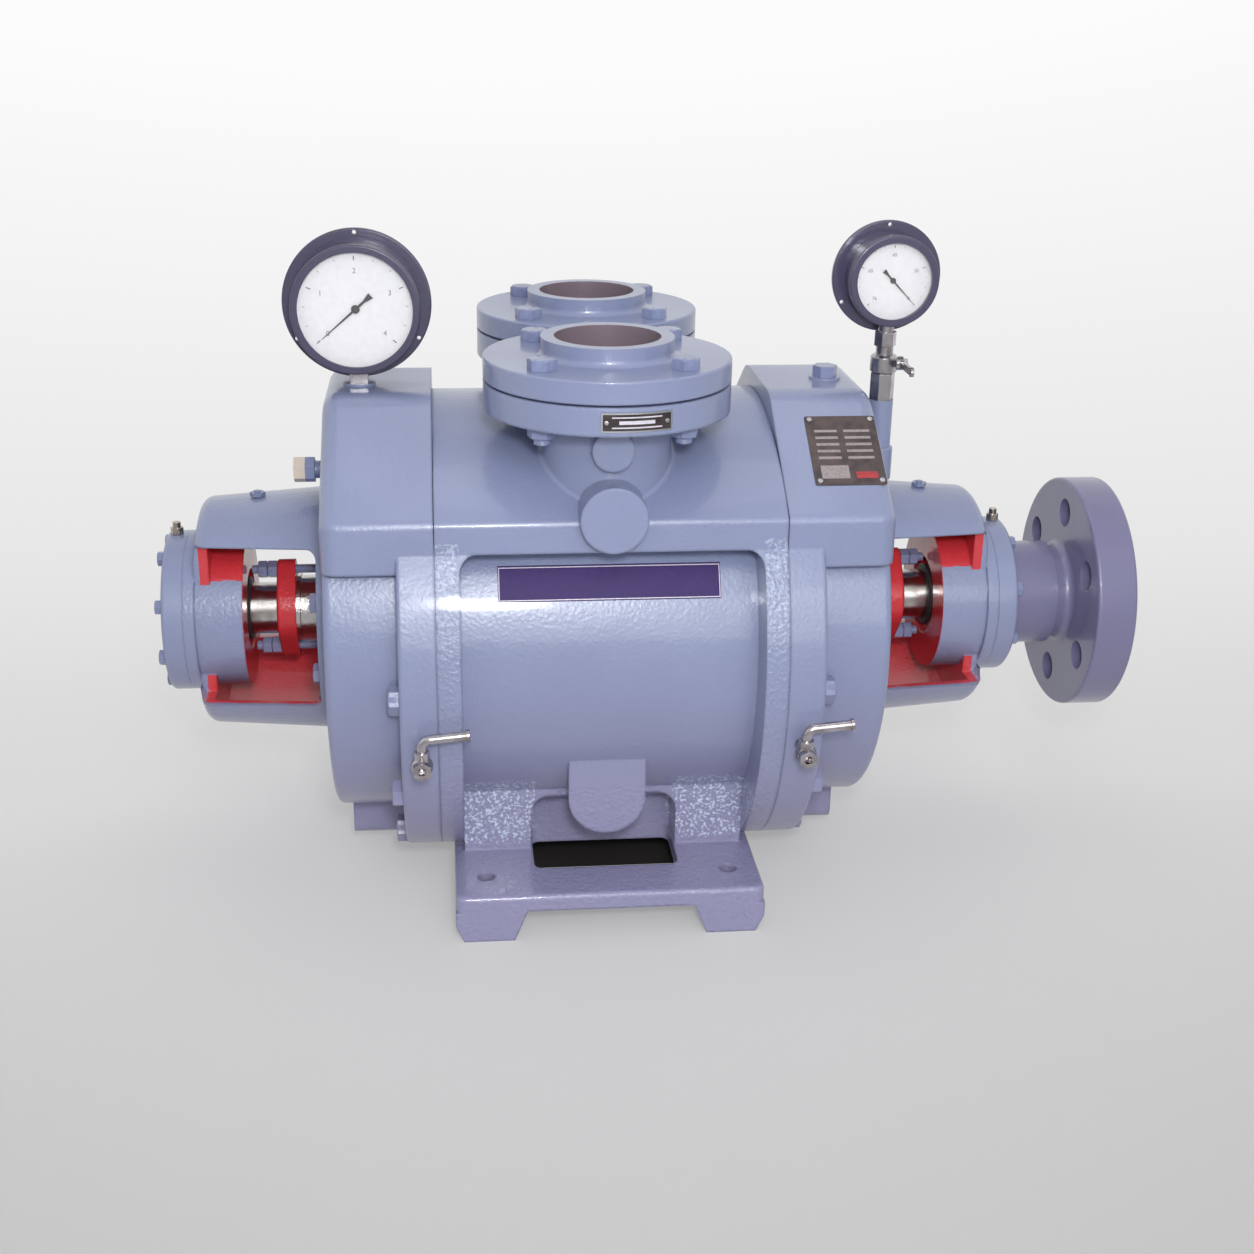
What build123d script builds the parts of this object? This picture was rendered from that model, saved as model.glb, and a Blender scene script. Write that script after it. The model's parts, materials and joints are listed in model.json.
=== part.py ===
from build123d import *
from math import cos, radians, sin, sqrt
import os

os.makedirs("parts", exist_ok=True)

# Liquid ring vacuum pump. Millimetres, +Z up, +X along the shaft to the coupling, the gauges face -Y.
# The origin lies on the floor, at the centre of the four foundation bolts.

# Fits and gaps
RUN_GAP = 0.05          # bearings and sleeve bores on the shaft line
FREE_GAP = 0.3          # between bodies that only pass each other
FACE_GAP = 0.4          # impeller end faces to the port plates

# Casing line
SHAFT_Z = 335
ECCENTRICITY = 16       # casing axis below the shaft axis
CASING_Z = SHAFT_Z - ECCENTRICITY
JOINT_X = 206           # half length of the centre casing
GASKET_T = 1
BORE_R = 225
BARREL_WALL = 20
BARREL_R = BORE_R + BARREL_WALL
PORT_PLATE_R = BORE_R + 11
CHAMBER_R = PORT_PLATE_R - 4
DRUM_WALL = 25
DRUM_R = CHAMBER_R + DRUM_WALL
FLANGE_RIM = 40         # beyond the drum
FLANGE_R = DRUM_R + FLANGE_RIM
FLANGE_T = 28           # casing side of the bolted joint
FLANGE_ROUND = 4
POCKET_TOP = 486
POCKET_DEPTH = 600
POCKET_CORNER = 20
HOOD_HALF = 246
HOOD_R = 378
HOOD_RISE = 49          # above the barrel
HOOD_TOP = CASING_Z + BARREL_R + HOOD_RISE
HOOD_EDGE = 9
HOOD_WALL = 10
DUCT_INNER_Y = 75
DUCT_FLOOR = 500

# Foot
PLATE_TOP = 61
PLATE_T = 21
PLATE_HALF_X = 191
PLATE_HALF_Y = 293
PLATE_CORNER = 12
PLATE_ROUND = 6
FOOT_TOP_W = 88
FOOT_BOTTOM_W = 62
FOOT_DEPTH = 104
FOOT_SLANT = 22
BOLT_X = 152
BOLT_Y = 241
FOOT_HOLE_R = 11
PEDESTAL_HALF_Y = 173
ARCH_HALF = 93
ARCH_TOP = 136
ARCH_CORNER = 25
ARCH_BACK_Y = 118
PEDESTAL_RISE = 90      # into the barrel, above its lowest line
SUMP_HOLE_Y = 225

# Ports
PORT_Y = 150
PORT_R = 62.5
NECK_R = 77.5
NECK_BORE_R = 60
PORT_FLANGE_R = 146
NECK_RISE = 57          # above the hood
NECK_TOP = HOOD_TOP + NECK_RISE
NECK_ROOT = 20
NECK_FLANGE_T = 33
PORT_GASKET_T = 2
COMPANION_T = 27
HUB_R = 78.6
HUB_H = 21.5
PORT_BOLT_R = 115       # pitch circle radius
PORT_BOLT_D = 20
PORT_BOLT_ANGLE = 45
BOSS_R = 39.5
BOSS_Z = HOOD_TOP - 83
BOSS_FACE_Y = 265
BOSS_ROOT_Y = 200
EYE_R = 24.5
EYE_Z = HOOD_TOP - 8
EYE_FACE_Y = 240
EYE_ROOT_Y = 190
LUG_HALF = 48
LUG_BOTTOM = 104
LUG_FACE_Y = 217
LUG_BACK_Y = 150

# Side housings
HOUSING_END = 338
HOUSING_FLANGE_T = 44
DRUM_END_ROUND = 9
CHEST_END_ROUND = 20
CHEST_RISE = 43         # above the drum
CHEST_TOP = SHAFT_Z + DRUM_R + CHEST_RISE
CHEST_TOP_HALF = 82
CHEST_SLOPE_H = 112
CHEST_EDGE_Z = CHEST_TOP - CHEST_SLOPE_H
CHEST_WALL_H = 60
CHEST_WALL_BOTTOM = CHEST_EDGE_Z - CHEST_WALL_H
CHEST_ROUND = 60
CHEST_EDGE_ROUND = 14
PORT_PLATE_T = 24
CHAMBER_END = 318
BOX_R = 42              # stuffing box bore
BOX_WALL = 24
BOX_FLOOR = 252
PAD_HALF_Y = 60
PAD_ROUND = 16
PAD_INSET = 14          # short of the drum's end

# Rotor
SLEEVE_R = 33.5
SHAFT_MID_R = 33
SHAFT_SLEEVE_R = 28
SHAFT_BEARING_R = 27.5
SHAFT_COUPLING_R = 25
TIP_GAP = 4             # blade tips to the bore, where it is closest
IMPELLER_R = BORE_R - ECCENTRICITY - TIP_GAP
IMPELLER_HUB_R = 90     # at mid length, and at the ends
IMPELLER_END_R = 56
IMPELLER_WEB_T = 14
BLADE_COUNT = 16
BLADE_T = 7
BLADE_SWEEP = 24        # degrees that the tip leads the root
KEY_W = 14
KEY_H = 9

# Bearing ends
BRACKET_FLANGE_T = 14
SHELL_R_INNER = 158     # outer radius of the bracket shell at the housing
SHELL_TAPER = 12        # how much smaller it is at the bearing
SHELL_R_OUTER = SHELL_R_INNER - SHELL_TAPER
SHELL_ROUND = 15
SHELL_T = 13
SHELL_END = 500
WINDOW_END = 506
ARM_END = 477           # lower arm of the bracket, at its tip
ARM_LIP = 15            # its height below the cover's flange at the window's end
TUBE_R = 98
TUBE_START = 447
TUBE_END = 521
ARM_DEPTH_TOP = 44      # upper arm, above the windows
ARM_DEPTH_BOTTOM = 74
WINDOW_TOP = SHAFT_Z + SHELL_R_INNER - ARM_DEPTH_TOP
WINDOW_BOTTOM = SHAFT_Z - SHELL_R_INNER + ARM_DEPTH_BOTTOM
WINDOW_ROUND = 12
END_WALL_HALF = 78      # wall that ties the arms to the bearing tube
MOUTH_DEPTH = 12
MOUTH_R = 52
SEAL_R = 30.5           # inner wall of the bearing chamber, clear of the shaft
BEARING_R = 60
BEARING_START = 484
BEARING_W = 29
COVER_R = 103
COVER_T = 26
COVER_BOLT_R = 88
COVER_BOLTS = 8
BRACKET_BOLT_R = SHELL_R_INNER - 34
BRACKET_BOLTS = 8
THROWER_R = 41
THROWER_T = 8

# Glands
GLAND_HALF = 66
GLAND_CORE_R = 46
GLAND_T = 24
GLAND_FACE = 411        # outer face
GLAND_NOSE_END = 330
STUD_PITCH_R = 53
STUD_R = 6
PACKING_T = 13

# Coupling half
COUPLING_FACE = 686
COUPLING_R = 154
COUPLING_T = 52
COUPLING_HUB_R = 69
COUPLING_NECK_R = 62
COUPLING_START = 552
COUPLING_STEP = 612
COUPLING_PITCH_R = 111
COUPLING_HOLES = 6
COUPLING_HOLE_R = 19

# Joint bolts
JOINT_PITCH_R = 277
JOINT_STEP = 30
JOINT_BOLT_D = 20


def across(x):
    """Plane square to the shaft at x: its local axes are Y and Z of the pump."""
    return Plane.YZ.offset(x)


def facing(y):
    """Plane square to the line of sight at y, facing the gauges' side: its local axes are X and Z."""
    return Plane.XZ.offset(-y)


SHAFT_AXIS = Axis((0, 0, SHAFT_Z), (1, 0, 0))


def save(builder, label):
    """Names a finished piece and writes it."""
    builder.part.label = label
    export_step(builder.part, f"parts/{label}.step")


def save_pair(right, label):
    """Writes a piece of the right-hand end and its mirror image at the left-hand end."""
    save(right, f"{label}_right")
    with BuildPart() as left:
        mirror(right.part, about=Plane.YZ)
    save(left, f"{label}_left")


def save_both(right, label):
    """Writes a piece and its mirror image together, as separate solids of one node."""
    with BuildPart() as both:
        add(right.part)
        mirror(right.part, about=Plane.YZ)
    save(both, label)


def disc(x0, x1, radius, inner=0, z=SHAFT_Z):
    """Adds a round disc or ring about a line parallel to the shaft."""
    with BuildSketch(across(x0)) as outline:
        with Locations((0, z)):
            Circle(radius)
            if inner:
                Circle(inner, mode=Mode.SUBTRACT)
    extrude(outline.sketch, amount=x1 - x0)


def bore(x0, x1, radius, z=SHAFT_Z):
    """Cuts a round bore about a line parallel to the shaft."""
    with BuildSketch(across(x0)) as outline:
        with Locations((0, z)):
            Circle(radius)
    extrude(outline.sketch, amount=x1 - x0, mode=Mode.SUBTRACT)


def hex_bar(plane, spots, across_flats, length):
    """Adds hexagon heads or nuts on a plane, at its local spots."""
    with BuildSketch(plane) as outline:
        with Locations(*spots):
            RegularPolygon(across_flats / sqrt(3), 6)
    extrude(outline.sketch, amount=length)


def round_bar(plane, spots, radius, length):
    """Adds round shanks or pins on a plane, at its local spots."""
    with BuildSketch(plane) as outline:
        with Locations(*spots):
            Circle(radius)
    extrude(outline.sketch, amount=length)


def round_cut(plane, spots, radius, length):
    """Cuts round holes from a plane, at its local spots."""
    with BuildSketch(plane) as outline:
        with Locations(*spots):
            Circle(radius)
    extrude(outline.sketch, amount=length, mode=Mode.SUBTRACT)


def on_circle(radius, count, start=0.0, step=None, centre=(0, SHAFT_Z)):
    """Spots on a circle in a plane's local axes, angles counted from local x."""
    step = 360 / count if step is None else step
    angles = [radians(start + i * step) for i in range(count)]
    return [(centre[0] + radius * cos(a), centre[1] + radius * sin(a)) for a in angles]


# Centre casing
HOOD_Z = HOOD_TOP - HOOD_R
PORT_SIDES = (-PORT_Y, PORT_Y)
JOINT_SPOTS = [spot for start in (180, 300)
               for spot in on_circle(JOINT_PITCH_R, 3, start, JOINT_STEP, (0, CASING_Z))]
JOINT_HOLE_DEPTH = FLANGE_T - 6


def duct_outline(x):
    """Outline at x of the two gas ducts between the hood's shell and the working chamber."""
    with BuildSketch(across(x)) as outline:
        with Locations((0, HOOD_Z)):
            Circle(HOOD_R - HOOD_WALL)
        with Locations((0, CASING_Z)):
            Circle(BORE_R + HOOD_WALL, mode=Mode.SUBTRACT)
        with Locations((0, DUCT_FLOOR + HOOD_R)):
            Rectangle(2 * (HOOD_HALF - HOOD_WALL), 2 * HOOD_R, mode=Mode.INTERSECT)
        with Locations((0, HOOD_Z)):
            Rectangle(2 * DUCT_INNER_Y, 3 * HOOD_R, mode=Mode.SUBTRACT)
    return outline.sketch


with BuildPart() as pocket:
    with BuildSketch(Plane.XZ):
        with Locations((0, POCKET_TOP - POCKET_DEPTH / 2)):
            RectangleRounded(2 * (JOINT_X - FLANGE_T), POCKET_DEPTH, POCKET_CORNER)
    extrude(amount=FLANGE_R + 10, both=True)
    bore(-JOINT_X, JOINT_X, BARREL_R, CASING_Z)

with BuildPart() as arch:
    with BuildSketch(facing(-ARCH_BACK_Y)):
        with Locations((0, ARCH_TOP - ARCH_TOP / 2)):
            RectangleRounded(2 * ARCH_HALF, ARCH_TOP, ARCH_CORNER)
        with Locations((0, PLATE_TOP / 2)):
            Rectangle(2 * ARCH_HALF, PLATE_TOP, mode=Mode.SUBTRACT)
    extrude(amount=PLATE_HALF_Y - ARCH_BACK_Y)
    bore(-JOINT_X, JOINT_X, BARREL_R, CASING_Z)
    mirror(about=Plane.XZ)

with BuildPart() as base_plate:
    with BuildSketch(Plane.XY.offset(PLATE_TOP - PLATE_T)):
        RectangleRounded(2 * PLATE_HALF_X, 2 * PLATE_HALF_Y, PLATE_CORNER)
    extrude(amount=PLATE_T)
    fillet(base_plate.edges().group_by(Axis.Z)[-1], PLATE_ROUND)

with BuildPart() as centre_casing:
    # Flange discs and the hood that carries the ports, as one profile along the shaft
    with BuildSketch(across(-JOINT_X)):
        with Locations((0, HOOD_Z)):
            Circle(HOOD_R)
        with Locations((0, (CASING_Z + HOOD_TOP) / 2)):
            Rectangle(2 * HOOD_HALF, HOOD_TOP - CASING_Z, mode=Mode.INTERSECT)
        with Locations((0, CASING_Z)):
            Circle(FLANGE_R)
    extrude(amount=2 * JOINT_X)
    hood_edges = centre_casing.edges().filter_by(Axis.X)
    hood_edges = hood_edges.filter_by_position(Axis.Z, POCKET_TOP + 10, HOOD_TOP)
    fillet(hood_edges, HOOD_EDGE)
    add(pocket.part, mode=Mode.SUBTRACT)

    # Base plate, feet and pedestal
    add(base_plate.part)
    with BuildSketch(facing(-PLATE_HALF_Y)) as foot_face:
        with BuildLine():
            Polyline(
                (PLATE_HALF_X, PLATE_TOP - PLATE_T),
                (PLATE_HALF_X, FOOT_SLANT),
                (PLATE_HALF_X - 10, 0),
                (PLATE_HALF_X - 10 - FOOT_BOTTOM_W, 0),
                (PLATE_HALF_X - FOOT_TOP_W, PLATE_TOP - PLATE_T),
                close=True,
            )
        make_face()
        mirror(about=Plane.YZ)
    extrude(amount=-FOOT_DEPTH)
    with BuildSketch(facing(PLATE_HALF_Y)):
        add(foot_face.sketch.moved(Location((0, 2 * PLATE_HALF_Y, 0))))
    extrude(amount=FOOT_DEPTH)
    with BuildSketch(Plane.XY.offset(PLATE_TOP)):
        Rectangle(2 * (JOINT_X - FLANGE_T), 2 * PEDESTAL_HALF_Y)
    extrude(amount=CASING_Z - BARREL_R + PEDESTAL_RISE - PLATE_TOP)
    add(arch.part, mode=Mode.SUBTRACT)
    with BuildSketch(Plane.XY.offset(PLATE_TOP)):
        with Locations(*[(0, s * (SUMP_HOLE_Y + ARCH_BACK_Y) / 2) for s in (-1, 1)]):
            RectangleRounded(2 * ARCH_HALF - 4, SUMP_HOLE_Y - ARCH_BACK_Y, PLATE_CORNER)
    extrude(amount=-PLATE_TOP, mode=Mode.SUBTRACT)
    with BuildSketch(Plane.XY.offset(PLATE_TOP)):
        with GridLocations(2 * BOLT_X, 2 * BOLT_Y, 2, 2):
            Circle(FOOT_HOLE_R)
    extrude(amount=-PLATE_TOP, mode=Mode.SUBTRACT)

    # Port necks with their flanges
    with BuildSketch(Plane.XY.offset(BOSS_Z - NECK_ROOT)):
        with Locations(*[(0, y) for y in PORT_SIDES]):
            Circle(NECK_R)
    extrude(amount=NECK_TOP - BOSS_Z + NECK_ROOT)
    with BuildSketch(Plane.XY.offset(NECK_TOP - NECK_FLANGE_T)):
        with Locations(*[(0, y) for y in PORT_SIDES]):
            Circle(PORT_FLANGE_R)
    extrude(amount=NECK_FLANGE_T)

    # Round bosses on the front and the lug over the arch
    round_bar(facing(-BOSS_FACE_Y), [(0, BOSS_Z)], BOSS_R, -(BOSS_FACE_Y - BOSS_ROOT_Y))
    round_bar(facing(-EYE_FACE_Y), [(0, EYE_Z)], EYE_R, -(EYE_FACE_Y - EYE_ROOT_Y))
    with BuildSketch(facing(-LUG_FACE_Y)):
        with Locations((0, LUG_BOTTOM + LUG_HALF)):
            Circle(LUG_HALF)
        with Locations((0, LUG_BOTTOM + 2 * LUG_HALF)):
            Rectangle(2 * LUG_HALF, 2 * LUG_HALF)
    extrude(amount=-(LUG_FACE_Y - LUG_BACK_Y))

    # Working chamber, gas ducts beside it and the port bores
    bore(-JOINT_X, JOINT_X, BORE_R, CASING_Z)
    extrude(duct_outline(-JOINT_X), amount=2 * JOINT_X, mode=Mode.SUBTRACT)
    with BuildSketch(Plane.XY.offset(NECK_TOP)):
        with Locations(*[(0, y) for y in PORT_SIDES]):
            Circle(NECK_BORE_R)
    extrude(amount=-(NECK_TOP - DUCT_FLOOR - 40), mode=Mode.SUBTRACT)

    # Bolt holes
    for y in PORT_SIDES:
        round_cut(Plane.XY.offset(NECK_TOP), on_circle(PORT_BOLT_R, 4, PORT_BOLT_ANGLE, None, (0, y)),
                  PORT_BOLT_D / 2 + 0.5, -NECK_FLANGE_T)
    round_cut(across(JOINT_X), JOINT_SPOTS, JOINT_BOLT_D / 2, -JOINT_HOLE_DEPTH)
    round_cut(across(-JOINT_X), JOINT_SPOTS, JOINT_BOLT_D / 2, JOINT_HOLE_DEPTH)
save(centre_casing, "centre_casing")

# Side housings
HOUSING_FACE = JOINT_X + GASKET_T
HOUSING_FLANGE_END = HOUSING_FACE + HOUSING_FLANGE_T
PORT_PLATE_END = HOUSING_FACE + PORT_PLATE_T
GAUGE_LEFT_X = -295
STEM_Y = -17
RISER_X = 364
RISER_Y = -25
RISER_ELBOW_Z = SHAFT_Z + SHELL_R_INNER + 35
RISER_SPIGOT_R = 12
SPIGOT_DEPTH = 14
PLUG_X = 292
PLUG_Y = -10
PLUG_R = 11
STEM_SPIGOT_R = 9
TAP_DEPTH = 24
COCK_X = 226
COCK_ANGLE = 192.8      # about the casing axis, from +Y
COCK_TAP_R = 8
CHEST_BOSS_R = 20
CHEST_BOSS_H = 3
BRACKET_SPOTS = on_circle(BRACKET_BOLT_R, BRACKET_BOLTS, 22.5)
BRACKET_BOLT_D = 16
STUD_SPOTS = [(0, SHAFT_Z - STUD_PITCH_R), (0, SHAFT_Z + STUD_PITCH_R)]
STUD_DEPTH = 22
COCK_Y = FLANGE_R * cos(radians(COCK_ANGLE))
COCK_Z = CASING_Z - FLANGE_R * sin(radians(COCK_ANGLE - 180))
COCK_TAP_DEPTH = 30

with BuildPart() as drum:
    disc(HOUSING_FACE, HOUSING_END, DRUM_R)
    fillet(drum.edges().group_by(Axis.X)[-1], DRUM_END_ROUND)

# The chest over the drum carries the gas to the port plate
with BuildPart() as chest:
    with BuildSketch(across(HOUSING_FACE)) as chest_outline:
        with BuildLine():
            Polyline(
                (-HOOD_HALF, CHEST_WALL_BOTTOM),
                (-HOOD_HALF, CHEST_EDGE_Z),
                (-CHEST_TOP_HALF, CHEST_TOP),
                (CHEST_TOP_HALF, CHEST_TOP),
                (HOOD_HALF, CHEST_EDGE_Z),
                (HOOD_HALF, CHEST_WALL_BOTTOM),
                close=True,
            )
        make_face()
        fillet(chest_outline.vertices().group_by(Axis.Y)[-1], CHEST_ROUND)
        low_corners = chest_outline.vertices().filter_by_position(Axis.Y, CHEST_EDGE_Z - 1, CHEST_EDGE_Z + 1)
        fillet(low_corners, CHEST_EDGE_ROUND)
    extrude(amount=HOUSING_END - HOUSING_FACE)
    chest_end = chest.edges().group_by(Axis.X)[-1].sort_by(Axis.Z)
    fillet(chest_end[1:], CHEST_END_ROUND)

with BuildPart() as side_housing_right:
    disc(HOUSING_FACE, HOUSING_FLANGE_END, FLANGE_R, 0, CASING_Z)
    fillet(side_housing_right.edges().group_by(Axis.X)[-1], FLANGE_ROUND)
    add(drum.part)
    add(chest.part)
    # Pad under the drum
    with BuildSketch(across(HOUSING_FACE)):
        with Locations((0, SHAFT_Z - DRUM_R)):
            RectangleRounded(2 * PAD_HALF_Y, 2 * (FLANGE_RIM + ECCENTRICITY - 6), PAD_ROUND)
    extrude(amount=HOUSING_END - PAD_INSET - HOUSING_FACE)
    # Recess of the port plate, gas chambers, stuffing box
    bore(HOUSING_FACE, PORT_PLATE_END, PORT_PLATE_R)
    with BuildSketch(across(PORT_PLATE_END)):
        with Locations((0, SHAFT_Z)):
            Circle(CHAMBER_R)
            Circle(BOX_R + BOX_WALL, mode=Mode.SUBTRACT)
            Rectangle(2 * HOOD_WALL, 2 * CHAMBER_R, mode=Mode.SUBTRACT)
    extrude(amount=CHAMBER_END - PORT_PLATE_END, mode=Mode.SUBTRACT)
    extrude(duct_outline(HOUSING_FACE), amount=CHAMBER_END - HOUSING_FACE, mode=Mode.SUBTRACT)
    bore(PORT_PLATE_END, BOX_FLOOR, SLEEVE_R + FREE_GAP)
    bore(BOX_FLOOR, HOUSING_END, BOX_R)
    # Bolt holes and tapped holes
    round_cut(across(HOUSING_FACE), JOINT_SPOTS, JOINT_BOLT_D / 2, HOUSING_FLANGE_T)
    round_cut(across(HOUSING_END), BRACKET_SPOTS, BRACKET_BOLT_D / 2, -(HOUSING_END - CHAMBER_END) + 4)
    round_cut(across(HOUSING_END), STUD_SPOTS, STUD_R, -STUD_DEPTH)
    round_cut(across(HOUSING_END), [(RISER_Y, RISER_ELBOW_Z)], RISER_SPIGOT_R, -SPIGOT_DEPTH)
    round_cut(Plane(origin=(COCK_X, COCK_Y - 10, COCK_Z), z_dir=(0, -1, 0)), [(0, 0)], COCK_TAP_R,
              -COCK_TAP_DEPTH - 10)
with BuildPart() as side_housing_left:
    mirror(side_housing_right.part, about=Plane.YZ)
    round_bar(Plane.XY.offset(CHEST_TOP - 6), [(GAUGE_LEFT_X, STEM_Y)], CHEST_BOSS_R, CHEST_BOSS_H + 6)
    round_cut(Plane.XY.offset(CHEST_TOP + CHEST_BOSS_H), [(GAUGE_LEFT_X, STEM_Y)], STEM_SPIGOT_R, -TAP_DEPTH)
save(side_housing_left, "side_housing_left")
with side_housing_right:
    round_bar(Plane.XY.offset(CHEST_TOP - 6), [(PLUG_X, PLUG_Y)], CHEST_BOSS_R, CHEST_BOSS_H + 6)
    round_cut(Plane.XY.offset(CHEST_TOP + CHEST_BOSS_H), [(PLUG_X, PLUG_Y)], PLUG_R, -TAP_DEPTH)
save(side_housing_right, "side_housing_right")

# Port plates with a suction and a discharge crescent
with BuildPart() as port_plate:
    disc(HOUSING_FACE, PORT_PLATE_END, PORT_PLATE_R, SLEEVE_R + FREE_GAP)
    with BuildSketch(across(HOUSING_FACE)):
        with Locations((0, SHAFT_Z)):
            Circle(0.8 * IMPELLER_R)
        with Locations((0, CASING_Z + 8)):
            Circle(0.5 * IMPELLER_R, mode=Mode.SUBTRACT)
        with Locations((0, SHAFT_Z)):
            Rectangle(40, 2 * IMPELLER_R, mode=Mode.SUBTRACT)
        with Locations((0, SHAFT_Z - IMPELLER_R)):
            Rectangle(2 * IMPELLER_R, IMPELLER_R, mode=Mode.SUBTRACT)
    extrude(amount=PORT_PLATE_T, mode=Mode.SUBTRACT)
save_pair(port_plate, "port_plate")

# Sheet gaskets in the bolted joints
with BuildPart() as joint_gasket:
    disc(JOINT_X, HOUSING_FACE, FLANGE_R, PORT_PLATE_R + 2, CASING_Z)
    round_cut(across(JOINT_X), JOINT_SPOTS, JOINT_BOLT_D / 2, GASKET_T)
    bore(JOINT_X, HOUSING_FACE, PORT_PLATE_R + 2)
save_both(joint_gasket, "joint_gaskets")

# Bolts of the casing joint
JOINT_HEAD_AF = 30
JOINT_HEAD_H = 13
with BuildPart() as joint_bolt:
    hex_bar(across(HOUSING_FLANGE_END), JOINT_SPOTS, JOINT_HEAD_AF, JOINT_HEAD_H)
    shank_start = JOINT_X - JOINT_HOLE_DEPTH
    round_bar(across(shank_start), JOINT_SPOTS, JOINT_BOLT_D / 2, HOUSING_FLANGE_END - shank_start)
save_both(joint_bolt, "joint_bolts")

# Companion flanges, their gaskets and bolts
PORT_SEAT_Z = NECK_TOP + PORT_GASKET_T
COMPANION_TOP = PORT_SEAT_Z + COMPANION_T
PORT_TOP = COMPANION_TOP + HUB_H
for y, end in zip(PORT_SIDES, ("front", "rear")):
    port_spots = on_circle(PORT_BOLT_R, 4, PORT_BOLT_ANGLE, None, (0, y))
    with BuildPart() as companion_flange:
        with BuildSketch(Plane.XY.offset(PORT_SEAT_Z)):
            with Locations((0, y)):
                Circle(PORT_FLANGE_R)
        extrude(amount=COMPANION_T)
        with BuildSketch(Plane.XY.offset(COMPANION_TOP)):
            with Locations((0, y)):
                Circle(HUB_R)
        extrude(amount=HUB_H)
        hub_foot = companion_flange.edges().filter_by(GeomType.CIRCLE).group_by(Axis.Z)[-2]
        fillet(hub_foot.sort_by(SortBy.RADIUS)[0], 8)
        circles = companion_flange.edges().filter_by(GeomType.CIRCLE)
        fillet(circles.filter_by(lambda e: e.radius > PORT_FLANGE_R - 1), 2.5)
        with BuildSketch(Plane.XY.offset(PORT_SEAT_Z)):
            with Locations((0, y)):
                Circle(PORT_R)
        extrude(amount=PORT_TOP - PORT_SEAT_Z, mode=Mode.SUBTRACT)
        round_cut(Plane.XY.offset(PORT_SEAT_Z), port_spots, PORT_BOLT_D / 2 + 0.5, COMPANION_T)
    save(companion_flange, f"companion_flange_{end}")

with BuildPart() as port_gaskets:
    for y in PORT_SIDES:
        round_bar(Plane.XY.offset(NECK_TOP), [(0, y)], PORT_BOLT_R - PORT_BOLT_D / 2 - 2, PORT_GASKET_T)
        round_cut(Plane.XY.offset(NECK_TOP), [(0, y)], PORT_R + 1, PORT_GASKET_T)
save(port_gaskets, "port_gaskets")

PORT_NUT_AF = 30
PORT_NUT_H = 16
PORT_HEAD_H = 13
PORT_BOLT_END = 8       # bolt past its nut
with BuildPart() as port_flange_bolts:
    spots = [spot for y in PORT_SIDES for spot in on_circle(PORT_BOLT_R, 4, PORT_BOLT_ANGLE, None, (0, y))]
    neck_under = NECK_TOP - NECK_FLANGE_T
    bolt_end = neck_under - PORT_NUT_H - PORT_BOLT_END
    hex_bar(Plane.XY.offset(COMPANION_TOP), spots, PORT_NUT_AF, PORT_HEAD_H)
    hex_bar(Plane.XY.offset(neck_under - PORT_NUT_H), spots, PORT_NUT_AF, PORT_NUT_H)
    round_bar(Plane.XY.offset(bolt_end), spots, PORT_BOLT_D / 2, COMPANION_TOP - bolt_end)
save(port_flange_bolts, "port_flange_bolts")

# Bearing brackets: a shell with two windows that ends in the bearing tube
SHELL_CAVITY_END = SHELL_END - SHELL_T
NIPPLE_X = 430
NIPPLE_R = 5
NIPPLE_DEPTH = 6
SHELL_SLOPE = SHELL_TAPER / (SHELL_END - HOUSING_END)
NIPPLE_Z = SHAFT_Z + SHELL_R_INNER - SHELL_SLOPE * (NIPPLE_X - HOUSING_END)
with BuildPart() as window:
    with BuildSketch(Plane.XZ):
        window_start = HOUSING_END + BRACKET_FLANGE_T
        with Locations(((window_start + WINDOW_END) / 2, (WINDOW_TOP + WINDOW_BOTTOM) / 2)):
            RectangleRounded(WINDOW_END - window_start, WINDOW_TOP - WINDOW_BOTTOM, WINDOW_ROUND)
    extrude(amount=SHELL_R_INNER + 10, both=True)
    bore(TUBE_START, TUBE_END, TUBE_R)
    with BuildSketch(across(SHELL_CAVITY_END)):
        with Locations((0, SHAFT_Z)):
            Rectangle(2 * END_WALL_HALF, 2 * SHELL_R_INNER)
    extrude(amount=TUBE_END - SHELL_CAVITY_END, mode=Mode.SUBTRACT)

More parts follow.
